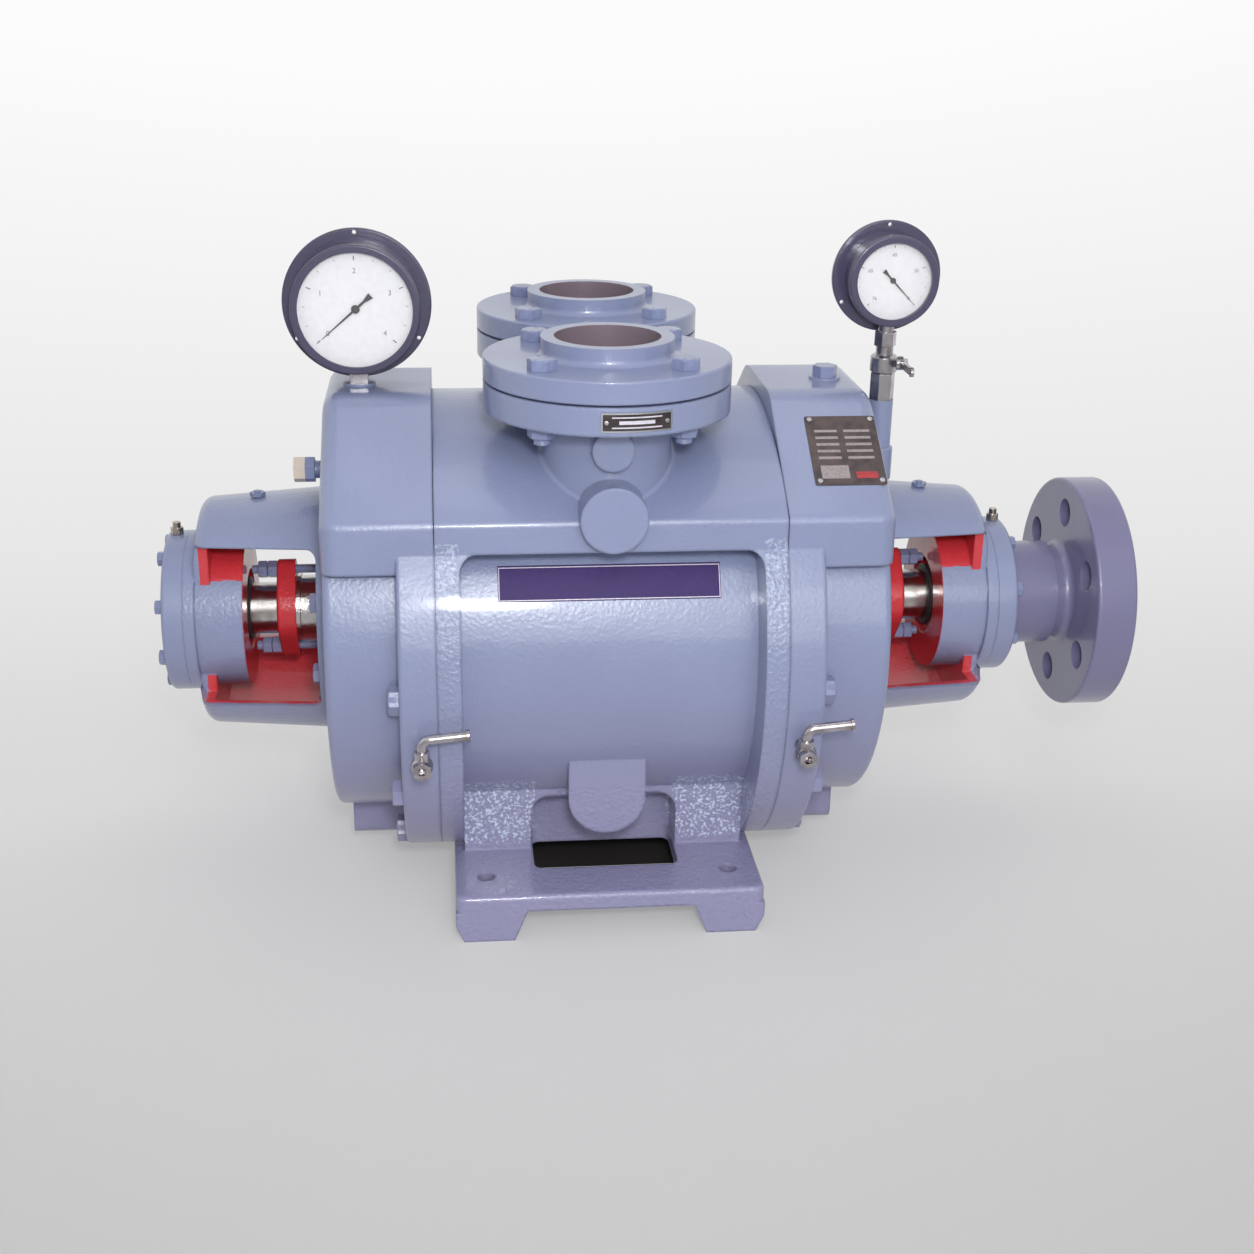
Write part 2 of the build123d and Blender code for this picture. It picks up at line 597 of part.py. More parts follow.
with BuildPart() as bearing_bracket:
    with BuildSketch(Plane.XZ) as shell:
        with BuildLine():
            Polyline(
                (HOUSING_END, SHAFT_Z + BOX_R + BOX_WALL),
                (HOUSING_END, SHAFT_Z + SHELL_R_INNER),
                (SHELL_END, SHAFT_Z + SHELL_R_OUTER),
                (WINDOW_END, SHAFT_Z + COVER_R + ARM_LIP),
                (WINDOW_END, SHAFT_Z + COVER_R),
                (TUBE_END, SHAFT_Z + COVER_R),
                (TUBE_END, SHAFT_Z + BEARING_R),
                (BEARING_START, SHAFT_Z + BEARING_R),
                (BEARING_START, SHAFT_Z + SEAL_R),
                (TUBE_START + MOUTH_DEPTH, SHAFT_Z + SEAL_R),
                (TUBE_START + MOUTH_DEPTH, SHAFT_Z + MOUTH_R),
                (TUBE_START, SHAFT_Z + MOUTH_R),
                (TUBE_START, SHAFT_Z + TUBE_R),
                (SHELL_CAVITY_END, SHAFT_Z + TUBE_R),
                (SHELL_CAVITY_END, SHAFT_Z + SHELL_R_OUTER - SHELL_T),
                (HOUSING_END + BRACKET_FLANGE_T, SHAFT_Z + SHELL_R_INNER - SHELL_T - 1),
                (HOUSING_END + BRACKET_FLANGE_T, SHAFT_Z + BOX_R + BOX_WALL),
                close=True,
            )
        make_face()
        fillet(shell.vertices().filter_by_position(Axis.X, SHELL_END - 1, SHELL_END + 1), SHELL_ROUND)
    revolve(axis=SHAFT_AXIS)
    add(window.part, mode=Mode.SUBTRACT)
    # The lower arm ends short of the upper one
    with BuildSketch(facing(0)):
        with BuildLine():
            Polyline(
                (ARM_END, SHAFT_Z - SHELL_R_INNER),
                (WINDOW_END + 3, SHAFT_Z - COVER_R - ARM_LIP + 3),
                (TUBE_END, SHAFT_Z - COVER_R - ARM_LIP + 3),
                (TUBE_END, SHAFT_Z - SHELL_R_INNER),
                close=True,
            )
        make_face()
    extrude(amount=SHELL_R_INNER, both=True, mode=Mode.SUBTRACT)
    round_cut(across(HOUSING_END), BRACKET_SPOTS, BRACKET_BOLT_D / 2, BRACKET_FLANGE_T)
    round_cut(across(TUBE_END), on_circle(COVER_BOLT_R, COVER_BOLTS, 22.5), 5, -16)
    round_cut(Plane.XY.offset(NIPPLE_Z - NIPPLE_DEPTH - 1), [(NIPPLE_X, 0)], NIPPLE_R, SHELL_T)
save_pair(bearing_bracket, "bearing_bracket")

BRACKET_HEAD_AF = 24
BRACKET_HEAD_H = 10
with BuildPart() as bracket_bolt:
    face = HOUSING_END + BRACKET_FLANGE_T
    hex_bar(across(face), BRACKET_SPOTS, BRACKET_HEAD_AF, BRACKET_HEAD_H)
    start = CHAMBER_END + 4
    round_bar(across(start), BRACKET_SPOTS, BRACKET_BOLT_D / 2, face - start)
save_both(bracket_bolt, "bracket_bolts")

# Bearings: inner rings turn with the shaft, outer rings and rollers stay
INNER_RING_R = 37
OUTER_RING_R = 50
ROLLER_COUNT = 12
ROLLER_GAP = 0.1
BEARING_END = BEARING_START + BEARING_W
with BuildPart() as bearing_inner_ring:
    disc(BEARING_START, BEARING_END, INNER_RING_R, SHAFT_BEARING_R)
save_both(bearing_inner_ring, "bearing_inner_rings")

with BuildPart() as bearing_outer_ring:
    disc(BEARING_START, BEARING_END, BEARING_R, OUTER_RING_R)
save_both(bearing_outer_ring, "bearing_outer_rings")

with BuildPart() as bearing_rollers:
    roller_r = (OUTER_RING_R - INNER_RING_R) / 2 - ROLLER_GAP
    rollers = on_circle((OUTER_RING_R + INNER_RING_R) / 2, ROLLER_COUNT)
    round_bar(across(BEARING_START + 6), rollers, roller_r, BEARING_W - 12)
save_both(bearing_rollers, "bearing_rollers")

# Bearing covers: the drive end lets the shaft through, the other is closed
COVER_BOLT_D = 10
COVER_SPOTS = on_circle(COVER_BOLT_R, COVER_BOLTS, 22.5)
COVER_POCKET = 10       # depth left free for the lock nut
COVER_FACE = TUBE_END + COVER_T
COVER_NIPPLE_X = TUBE_END + COVER_T / 2
COVER_TOP = SHAFT_Z + COVER_R


def bearing_cover(open_r):
    """Makes the right-hand cover, with a shaft hole if open_r is set."""
    with BuildPart() as cover:
        disc(TUBE_END, COVER_FACE, COVER_R)
        cover_rim = cover.edges().filter_by(GeomType.CIRCLE).group_by(Axis.X)[-1]
        fillet(cover_rim, 5)
        disc(BEARING_END, TUBE_END, BEARING_R, OUTER_RING_R)
        bore(TUBE_END, TUBE_END + COVER_POCKET + 4, OUTER_RING_R)
        if open_r:
            bore(TUBE_END, COVER_FACE, open_r)
        round_cut(across(TUBE_END), COVER_SPOTS, COVER_BOLT_D / 2, COVER_T)
        round_cut(Plane.XY.offset(COVER_TOP - NIPPLE_DEPTH), [(COVER_NIPPLE_X, 0)], NIPPLE_R, NIPPLE_DEPTH)
    return cover


cover_right = bearing_cover(SHAFT_COUPLING_R + FREE_GAP)
save(cover_right, "bearing_cover_right")
with BuildPart() as cover_left:
    mirror(bearing_cover(0).part, about=Plane.YZ)
save(cover_left, "bearing_cover_left")

with BuildPart() as cover_bolt:
    hex_bar(across(COVER_FACE), COVER_SPOTS, 17, 8)
    round_bar(across(TUBE_END - 16), COVER_SPOTS, COVER_BOLT_D / 2, COVER_T + 16)
save_both(cover_bolt, "cover_bolts")

# Glands: an oval follower with a machined nose in the stuffing box
with BuildPart() as gland:
    with BuildSketch(across(GLAND_FACE - GLAND_T)) as follower:
        with Locations((0, SHAFT_Z)):
            Circle(GLAND_CORE_R)
        with Locations(*STUD_SPOTS):
            Circle(GLAND_HALF - STUD_PITCH_R)
        make_hull()
    extrude(amount=GLAND_T)
    follower_rim = gland.edges().group_by(Axis.X)[-1]
    fillet(follower_rim, 4)
    disc(GLAND_FACE - GLAND_T - 6, GLAND_FACE - GLAND_T, BOX_R + 2)
    disc(GLAND_NOSE_END, GLAND_FACE - GLAND_T - 6, BOX_R)
    bore(GLAND_NOSE_END, GLAND_FACE, SLEEVE_R + FREE_GAP)
    round_cut(across(GLAND_FACE - GLAND_T), STUD_SPOTS, STUD_R + 0.5, GLAND_T)
save_pair(gland, "gland")

STUD_START = HOUSING_END - STUD_DEPTH
STUD_END = GLAND_FACE + 32
GLAND_NUT_AF = 20
GLAND_NUT_H = 24        # two nuts, one locking the other
with BuildPart() as gland_stud:
    round_bar(across(STUD_START), STUD_SPOTS, STUD_R, STUD_END - STUD_START)
    hex_bar(across(GLAND_FACE), STUD_SPOTS, GLAND_NUT_AF, GLAND_NUT_H)
save_both(gland_stud, "gland_studs")

LANTERN_AFTER = 2
with BuildPart() as packing:
    for i in range(6):
        if i != LANTERN_AFTER:
            start = BOX_FLOOR + i * PACKING_T
            disc(start + 0.2, start + PACKING_T, BOX_R, SLEEVE_R + FREE_GAP)
save_both(packing, "packing_rings")

with BuildPart() as lantern:
    start = BOX_FLOOR + LANTERN_AFTER * PACKING_T
    disc(start, start + PACKING_T, BOX_R, SLEEVE_R + FREE_GAP)
    with BuildSketch(Plane.XZ):
        with Locations((start + PACKING_T / 2, SHAFT_Z + BOX_R)):
            Rectangle(PACKING_T - 6, 6)
    revolve(axis=SHAFT_AXIS, mode=Mode.SUBTRACT)
save_both(lantern, "lantern_rings")

# Shaft line
IMPELLER_END = HOUSING_FACE - FACE_GAP
SLEEVE_END = 445
NUT_START = BEARING_END
NUT_T = 9
SHAFT_LEFT_END = NUT_START + NUT_T + 5
KEY_HALF = 120
KEY_SEAT = KEY_H / 2 + 1        # depth of the keyseats in the shaft
IMPELLER_KEY = (-KEY_HALF, KEY_HALF, SHAFT_MID_R)
COUPLING_KEY = (COUPLING_START + 10, COUPLING_FACE - 8, SHAFT_COUPLING_R)
with BuildPart() as shaft:
    disc(-IMPELLER_END, IMPELLER_END, SHAFT_MID_R)
    disc(-BEARING_START, BEARING_START, SHAFT_SLEEVE_R)
    disc(-SHAFT_LEFT_END, SHAFT_LEFT_END, SHAFT_BEARING_R)
    disc(SHAFT_LEFT_END, COUPLING_FACE, SHAFT_COUPLING_R)
    shaft_ends = shaft.edges().filter_by(GeomType.CIRCLE)
    chamfer(shaft_ends.group_by(Axis.X)[0] + shaft_ends.group_by(Axis.X)[-1], 2)
    for x0, x1, radius in (IMPELLER_KEY, COUPLING_KEY):
        with BuildSketch(Plane.XY.offset(SHAFT_Z + radius)):
            with Locations(((x0 + x1) / 2, 0)):
                Rectangle(x1 - x0, KEY_W)
        extrude(amount=-KEY_SEAT, mode=Mode.SUBTRACT)
save(shaft, "shaft")

with BuildPart() as shaft_keys:
    for x0, x1, radius in (IMPELLER_KEY, COUPLING_KEY):
        with BuildSketch(Plane.XY.offset(SHAFT_Z + radius - KEY_SEAT)):
            with Locations(((x0 + x1) / 2, 0)):
                Rectangle(x1 - x0, KEY_W)
        extrude(amount=KEY_H)
save(shaft_keys, "shaft_keys")

with BuildPart() as shaft_sleeve:
    disc(IMPELLER_END, SLEEVE_END, SLEEVE_R, SHAFT_SLEEVE_R)
save_both(shaft_sleeve, "shaft_sleeves")

with BuildPart() as thrower:
    disc(SLEEVE_END, SLEEVE_END + THROWER_T, THROWER_R, SHAFT_SLEEVE_R)
    thrower_rim = thrower.edges().filter_by(GeomType.CIRCLE).filter_by(lambda e: e.radius > THROWER_R - 1)
    chamfer(thrower_rim, 2)
    disc(SLEEVE_END + THROWER_T, BEARING_START, SHAFT_BEARING_R + 2, SHAFT_SLEEVE_R)
save_both(thrower, "thrower_rings")

with BuildPart() as lock_nut:
    disc(NUT_START, NUT_START + NUT_T, INNER_RING_R + 4, SHAFT_BEARING_R)
    with BuildSketch(across(NUT_START)):
        with Locations((0, SHAFT_Z)):
            with PolarLocations(INNER_RING_R + 4, 4):
                Rectangle(5, 8)
    extrude(amount=NUT_T, mode=Mode.SUBTRACT)
save_both(lock_nut, "bearing_lock_nuts")

# Impeller: forward curved blades between the hub and the open rim, joined by a web at mid length
with BuildSketch() as blade:
    with BuildLine():
        tip_angle = radians(BLADE_SWEEP)
        middle_angle = 0.18 * tip_angle
        ThreePointArc(
            (IMPELLER_END_R - 3, 0),
            (0.62 * IMPELLER_R * cos(middle_angle), 0.62 * IMPELLER_R * sin(middle_angle)),
            ((IMPELLER_R + 4) * cos(tip_angle), (IMPELLER_R + 4) * sin(tip_angle)),
        )
    trace(line_width=BLADE_T)

with BuildPart() as impeller:
    with BuildSketch(Plane.XZ):
        with BuildLine():
            Polyline(
                (-IMPELLER_END, SHAFT_Z + SHAFT_MID_R),
                (-IMPELLER_END, SHAFT_Z + IMPELLER_END_R),
                (0, SHAFT_Z + IMPELLER_HUB_R),
                (IMPELLER_END, SHAFT_Z + IMPELLER_END_R),
                (IMPELLER_END, SHAFT_Z + SHAFT_MID_R),
                close=True,
            )
        make_face()
    revolve(axis=SHAFT_AXIS)
    disc(-IMPELLER_WEB_T / 2, IMPELLER_WEB_T / 2, IMPELLER_R - 12, SHAFT_MID_R)
    with BuildSketch(across(-IMPELLER_END)):
        with Locations((0, SHAFT_Z)):
            with PolarLocations(0, BLADE_COUNT):
                add(blade.sketch)
    extrude(amount=2 * IMPELLER_END)
    with BuildSketch(across(-IMPELLER_END)) as limit:
        with Locations((0, SHAFT_Z)):
            Circle(IMPELLER_R)
    extrude(amount=2 * IMPELLER_END, mode=Mode.INTERSECT)
    bore(-IMPELLER_END, IMPELLER_END, SHAFT_MID_R)
    with BuildSketch(Plane.XY.offset(SHAFT_Z)):
        Rectangle(2 * KEY_HALF, KEY_W)
    extrude(amount=SHAFT_MID_R + KEY_H / 2, mode=Mode.SUBTRACT)
save(impeller, "impeller")

# Coupling half
with BuildPart() as coupling_half:
    flange_start = COUPLING_FACE - COUPLING_T
    disc(COUPLING_START, COUPLING_STEP, COUPLING_HUB_R)
    disc(COUPLING_STEP, flange_start, COUPLING_NECK_R)
    disc(flange_start, COUPLING_FACE, COUPLING_R)
    coupling_rounds = coupling_half.edges().filter_by(GeomType.CIRCLE)
    fillet(coupling_rounds.filter_by(lambda e: e.radius > COUPLING_R - 1), 4)
    fillet(coupling_rounds.filter_by(lambda e: abs(e.radius - COUPLING_NECK_R) < 1).group_by(Axis.X)[-1], 10)
    bore(COUPLING_START, COUPLING_FACE, SHAFT_COUPLING_R)
    holes = on_circle(COUPLING_PITCH_R, COUPLING_HOLES, 90)
    round_cut(across(flange_start), holes, COUPLING_HOLE_R, COUPLING_T)
    with BuildSketch(Plane.XY.offset(SHAFT_Z)):
        with Locations(((COUPLING_START + COUPLING_FACE) / 2, 0)):
            Rectangle(COUPLING_FACE - COUPLING_START, KEY_W)
    extrude(amount=SHAFT_COUPLING_R + KEY_H / 2, mode=Mode.SUBTRACT)
save(coupling_half, "coupling_half")

# Gauges: a case with a lugged back flange, a bezel, a dial plate, a pointer on its arbor and a glass
BACK_FLANGE_T = 6
BACK_FLANGE_LIP = 13    # beyond the bezel
SCREW_HOLE_R = 2.5
POINTER_T = 1
POINTER_HUB = 0.075     # shares of the dial's radius
ARBOR_R = 2.5
ARBOR_DEPTH = 6


def gauge(side, x, z, front_y, dial_r, depth, pointer_angle):
    """Makes one gauge: all its pieces are placed back from the bezel's front face at front_y."""
    bezel_r = dial_r + 9
    glass_y = front_y + 3
    rim_y = glass_y + 3
    dial_y = rim_y + 6
    back_y = front_y + depth
    centre = [(x, z)]
    with BuildPart() as case:
        round_bar(facing(back_y), centre, bezel_r - 3, back_y - rim_y)
        round_cut(facing(dial_y + 2), centre, dial_r + 2, dial_y + 2 - rim_y)
        round_bar(facing(back_y), centre, bezel_r + BACK_FLANGE_LIP, BACK_FLANGE_T)
        circles = case.edges().filter_by(GeomType.CIRCLE)
        flange_rim = circles.filter_by(lambda e: e.radius > bezel_r + 1)
        fillet(flange_rim.group_by(Axis.Y)[0], 2)
        screw_spots = on_circle(bezel_r + BACK_FLANGE_LIP - 5, 3, 90, None, (x, z))
        round_cut(facing(back_y), screw_spots, SCREW_HOLE_R, BACK_FLANGE_T)
        round_cut(facing(dial_y + 2 + ARBOR_DEPTH), centre, ARBOR_R + RUN_GAP, ARBOR_DEPTH)
    save(case, f"gauge_case_{side}")
    with BuildPart() as bezel:
        round_bar(facing(rim_y + 8), centre, bezel_r, rim_y + 8 - front_y)
        fillet(bezel.edges().filter_by(GeomType.CIRCLE).group_by(Axis.Y)[0], 2)
        round_cut(facing(rim_y + 8), centre, bezel_r - 3, rim_y + 8 - glass_y)
        round_cut(facing(glass_y), centre, dial_r, glass_y - front_y)
    save(bezel, f"gauge_bezel_{side}")
    with BuildPart() as dial:
        round_bar(facing(dial_y + 2), centre, dial_r + 2, 2)
        round_cut(facing(dial_y + 2), centre, ARBOR_R + RUN_GAP, 2)
    save(dial, f"gauge_dial_{side}")
    with BuildPart() as glass:
        round_bar(facing(rim_y), centre, bezel_r - 3, rim_y - glass_y)
    save(glass, f"gauge_glass_{side}")
    with BuildPart() as pointer:
        pointer_y = dial_y - 2
        round_bar(facing(dial_y + 2 + ARBOR_DEPTH - 1), centre, ARBOR_R, ARBOR_DEPTH + 3)
        round_bar(facing(pointer_y), centre, POINTER_HUB * dial_r, POINTER_T)
        a = radians(pointer_angle)
        along = (cos(a), sin(a))
        square = (-sin(a), cos(a))
        half = [(0.8, 0.004), (0, 0.022), (-0.2, 0.022), (-0.36, 0.06)]
        spots = half + [(p, -q) for p, q in reversed(half)]
        with BuildSketch(facing(pointer_y)):
            with BuildLine():
                Polyline(
                    *[
                        (
                            x + dial_r * (p * along[0] + q * square[0]),
                            z + dial_r * (p * along[1] + q * square[1]),
                        )
                        for p, q in spots
                    ],
                    close=True,
                )
            make_face()
        extrude(amount=POINTER_T)
    save(pointer, f"gauge_pointer_{side}")


GAUGE_LEFT_Z = CHEST_TOP + 97
GAUGE_LEFT_FRONT = -53
GAUGE_LEFT_DIAL = 69
GAUGE_LEFT_DEPTH = 54
RISER_LENGTH = 83
RISER_TOP = RISER_ELBOW_Z + RISER_LENGTH
SOCKET_R = 13.5
SOCKET_TOP = RISER_TOP + 34
VALVE_TOP = SOCKET_TOP + 24
VALVE_Z = (SOCKET_TOP + VALVE_TOP) / 2
HEX_BOTTOM = VALVE_TOP + 11
GAUGE_RIGHT_Z = HEX_BOTTOM + 84
GAUGE_RIGHT_FRONT = -52
GAUGE_RIGHT_DIAL = 47
GAUGE_RIGHT_DEPTH = 48
gauge("left", GAUGE_LEFT_X, GAUGE_LEFT_Z, GAUGE_LEFT_FRONT, GAUGE_LEFT_DIAL, GAUGE_LEFT_DEPTH, 221)
gauge("right", RISER_X, GAUGE_RIGHT_Z, GAUGE_RIGHT_FRONT, GAUGE_RIGHT_DIAL, GAUGE_RIGHT_DEPTH, -46)

# Left gauge's stem: a square shank screwed into the boss of the chest
with BuildPart() as gauge_stem_left:
    boss_top = CHEST_TOP + CHEST_BOSS_H
    round_bar(Plane.XY.offset(boss_top - 20), [(GAUGE_LEFT_X, STEM_Y)], STEM_SPIGOT_R, 20)
    with BuildSketch(Plane.XY.offset(boss_top)):
        with Locations((GAUGE_LEFT_X, STEM_Y)):
            Rectangle(22, 22)
    extrude(amount=GAUGE_LEFT_Z - boss_top - 30)
    round_cut(facing(GAUGE_LEFT_FRONT + GAUGE_LEFT_DEPTH), [(GAUGE_LEFT_X, GAUGE_LEFT_Z)],
              GAUGE_LEFT_DIAL + 6, GAUGE_LEFT_DEPTH)
save(gauge_stem_left, "gauge_stem_left")

# Right gauge's column, from the elbow on the housing's end up to the gauge
RISER_R = 15.5
ELBOW_R = 19
ELBOW_H = 44
ELBOW_SOCKET_R = 16
LEVER_X = RISER_X + 20
with BuildPart() as riser_pipe:
    riser_foot = RISER_ELBOW_Z - 6
    round_bar(Plane.XY.offset(riser_foot), [(RISER_X, RISER_Y)], RISER_R, RISER_TOP - riser_foot)
    round_bar(Plane.XY.offset(RISER_ELBOW_Z - ELBOW_H / 2), [(RISER_X, RISER_Y)], ELBOW_R, ELBOW_H)
    elbow_rims = riser_pipe.edges().filter_by(GeomType.CIRCLE).filter_by(lambda e: e.radius > ELBOW_R - 1)
    fillet(elbow_rims, (ELBOW_R - RISER_R) * 0.8)
    elbow_spot = [(RISER_Y, RISER_ELBOW_Z)]
    round_bar(across(HOUSING_END), elbow_spot, ELBOW_SOCKET_R, RISER_X - HOUSING_END)
    round_bar(across(HOUSING_END - SPIGOT_DEPTH), elbow_spot, RISER_SPIGOT_R, SPIGOT_DEPTH + 6)
save(riser_pipe, "riser_pipe")

with BuildPart() as riser_socket:
    hex_bar(Plane.XY.offset(RISER_TOP), [(RISER_X, RISER_Y)], 2 * SOCKET_R, SOCKET_TOP - RISER_TOP)
save(riser_socket, "riser_socket")

with BuildPart() as valve_body:
    round_bar(Plane.XY.offset(SOCKET_TOP), [(RISER_X, RISER_Y)], 17, VALVE_TOP - SOCKET_TOP)
    chamfer(valve_body.edges().filter_by(GeomType.CIRCLE), 3)
    round_bar(Plane(origin=(RISER_X, RISER_Y, VALVE_Z), z_dir=(1, 0, 0)), [(0, 0)], 9, LEVER_X - RISER_X)
    round_cut(Plane(origin=(LEVER_X, RISER_Y, VALVE_Z), z_dir=(1, 0, 0)), [(0, 0)], 4 + RUN_GAP, -16)
save(valve_body, "valve_body")

LEVER_REACH = 52
with BuildPart() as valve_lever:
    lever_plane = Plane(origin=(LEVER_X + FREE_GAP, RISER_Y, VALVE_Z), x_dir=(0, 1, 0), z_dir=(1, 0, 0))
    with BuildSketch(lever_plane):
        Circle(9)
        with Locations((-LEVER_REACH / 2, 0)):
            Rectangle(LEVER_REACH, 9)
        with Locations((-LEVER_REACH, 0)):
            Circle(6)
        with Locations((12, 0)):
            Circle(5)
    extrude(amount=4)
    round_bar(lever_plane, [(0, 0)], 4, -14)
    hex_bar(lever_plane.offset(4), [(0, 0)], 11, 6)
save(valve_lever, "valve_lever")

with BuildPart() as gauge_stem_right:
    round_bar(Plane.XY.offset(VALVE_TOP), [(RISER_X, RISER_Y)], 11, HEX_BOTTOM - VALVE_TOP)
    hex_bar(Plane.XY.offset(HEX_BOTTOM), [(RISER_X, RISER_Y)], 24, 18)
    round_bar(Plane.XY.offset(HEX_BOTTOM), [(RISER_X, RISER_Y)], 10, GAUGE_RIGHT_Z - HEX_BOTTOM - 20)
    round_cut(facing(GAUGE_RIGHT_FRONT + GAUGE_RIGHT_DEPTH), [(RISER_X, GAUGE_RIGHT_Z)],
              GAUGE_RIGHT_DIAL + 6, GAUGE_RIGHT_DEPTH)
save(gauge_stem_right, "gauge_stem_right")

# Drain cocks on the housing flanges, with bent handles on upright plugs
COCK_REACH = 26
COCK_BODY_R = 11
COCK_PLUG_R = 6
HANDLE_R = 5.8
HANDLE_RISE = 32
HANDLE_REACH = 56
HANDLE_LIFT = 5         # of its tip, over its bend
for end, sign in (("left", -1), ("right", 1)):
    cock_x = sign * COCK_X
    body_y = COCK_Y - COCK_REACH
    with BuildPart() as cock_body:
        seat = Plane(origin=(cock_x, COCK_Y, COCK_Z), z_dir=(0, -1, 0))
        round_bar(seat, [(0, 0)], COCK_TAP_R, -(COCK_TAP_DEPTH - 4))
        round_bar(seat, [(0, 0)], COCK_TAP_R, COCK_REACH)
        with Locations((cock_x, body_y, COCK_Z)):
            Sphere(COCK_BODY_R + 2)
        hex_bar(seat.offset(COCK_REACH + 8), [(0, 0)], 20, 10)
        round_cut(seat.offset(COCK_REACH + 18), [(0, 0)], 5, -14)
        round_bar(Plane.XY.offset(COCK_Z), [(cock_x, body_y)], COCK_PLUG_R + 3, 18)
        round_cut(Plane.XY.offset(COCK_Z - 6), [(cock_x, body_y)], COCK_PLUG_R + RUN_GAP, 24)
    save(cock_body, f"drain_cock_body_{end}")
    with BuildPart() as handle:
        round_bar(Plane.XY.offset(COCK_Z - 5), [(cock_x, body_y)], COCK_PLUG_R, 23)
        with BuildLine() as bent:
            FilletPolyline(
                (cock_x, body_y, COCK_Z + 17),
                (cock_x, body_y, COCK_Z + HANDLE_RISE),
                (cock_x + HANDLE_REACH, body_y, COCK_Z + HANDLE_RISE + HANDLE_LIFT),
                radius=11,
            )
        with BuildSketch(Plane.XY.offset(COCK_Z + 17)):
            with Locations((cock_x, body_y)):
                Circle(HANDLE_R)
        sweep(path=bent.line)
        tip = bent.line % 1
        with BuildSketch(Plane(origin=bent.line @ 1, z_dir=tip)):
            Circle(HANDLE_R + 1.6)
        extrude(amount=-4)
    save(handle, f"drain_cock_handle_{end}")

# Plugs of the chests' passages, and grease nipples
VENT_NECK = 16
VENT_HEAD_AF = 28
VENT_HEAD_H = 26
with BuildPart() as vent_plug:
    tapping = Plane(origin=(-HOUSING_END, RISER_Y, RISER_ELBOW_Z), z_dir=(-1, 0, 0))
    round_bar(tapping, [(0, 0)], RISER_SPIGOT_R, -SPIGOT_DEPTH)
    round_bar(tapping, [(0, 0)], RISER_SPIGOT_R - 1, VENT_NECK)
    hex_bar(tapping.offset(VENT_NECK), [(0, 0)], VENT_HEAD_AF, VENT_HEAD_H)
save(vent_plug, "vent_plug")

with BuildPart() as passage_plug:
    hex_bar(Plane.XY.offset(CHEST_TOP + CHEST_BOSS_H), [(PLUG_X, PLUG_Y)], 27, 14)
    round_bar(Plane.XY.offset(CHEST_TOP + CHEST_BOSS_H - 20), [(PLUG_X, PLUG_Y)], PLUG_R, 20)
save(passage_plug, "passage_plug")

with BuildPart() as nipple:
    round_bar(Plane.XY.offset(NIPPLE_Z - NIPPLE_DEPTH), [(NIPPLE_X, 0)], NIPPLE_R, NIPPLE_DEPTH + 1)
    hex_bar(Plane.XY.offset(NIPPLE_Z + 1), [(NIPPLE_X, 0)], 17, 5)
    round_bar(Plane.XY.offset(NIPPLE_Z + 6), [(NIPPLE_X, 0)], 4, 2)
    # The taller ones on the bearing covers
    round_bar(Plane.XY.offset(COVER_TOP - NIPPLE_DEPTH), [(COVER_NIPPLE_X, 0)], NIPPLE_R, NIPPLE_DEPTH)
    hex_bar(Plane.XY.offset(COVER_TOP), [(COVER_NIPPLE_X, 0)], 14, 9)
    round_bar(Plane.XY.offset(COVER_TOP + 9), [(COVER_NIPPLE_X, 0)], 5, 7)
save_both(nipple, "grease_nipples")

# Name label on the barrel, rating plate on the chest's slope, tag on the front port flange
LABEL_HALF = 133
LABEL_Z = 438
LABEL_H = 38
PLATE_SHEET = 1
with BuildPart() as name_label:
    with BuildSketch(across(-LABEL_HALF)):
        with Locations((0, CASING_Z)):
            Circle(BARREL_R + PLATE_SHEET)
            Circle(BARREL_R, mode=Mode.SUBTRACT)
        with Locations((-BARREL_R, LABEL_Z)):
            Rectangle(BARREL_R, LABEL_H, mode=Mode.INTERSECT)
    extrude(amount=2 * LABEL_HALF)
save(name_label, "name_label")

slope_run = HOOD_HALF - CHEST_TOP_HALF
RATING_X = 288
RATING_AT = 0.52        # share of the slope, from its lower edge
SLOPE_PLANE = Plane(
    origin=(RATING_X, -HOOD_HALF + RATING_AT * slope_run, CHEST_EDGE_Z + RATING_AT * CHEST_SLOPE_H),
    x_dir=(1, 0, 0),
    z_dir=(0, -CHEST_SLOPE_H, slope_run),
)
RATING_W = 87
RATING_H = 108
with BuildPart() as rating_plate:
    with BuildSketch(SLOPE_PLANE):
        RectangleRounded(RATING_W, RATING_H, 3)
    extrude(amount=PLATE_SHEET)
save(rating_plate, "rating_plate")

with BuildPart() as plate_screws:
    corners = [(sx * (RATING_W / 2 - 6), sy * (RATING_H / 2 - 6)) for sx in (-1, 1) for sy in (-1, 1)]
    round_bar(SLOPE_PLANE.offset(PLATE_SHEET), corners, 3.2, 1.6)
save(plate_screws, "plate_screws")

TAG_HALF_ANGLE = 16
TAG_H = 22
with BuildPart() as casing_tag:
    with BuildSketch(Plane.XY.offset(NECK_TOP - NECK_FLANGE_T / 2 - TAG_H / 2)):
        with Locations((0, -PORT_Y)):
            Circle(PORT_FLANGE_R + PLATE_SHEET)
            Circle(PORT_FLANGE_R, mode=Mode.SUBTRACT)
        with Locations((20, -PORT_Y - PORT_FLANGE_R)):
            Rectangle(2 * PORT_FLANGE_R * sin(radians(TAG_HALF_ANGLE)), 60, mode=Mode.INTERSECT)
    extrude(amount=TAG_H)
save(casing_tag, "casing_tag")
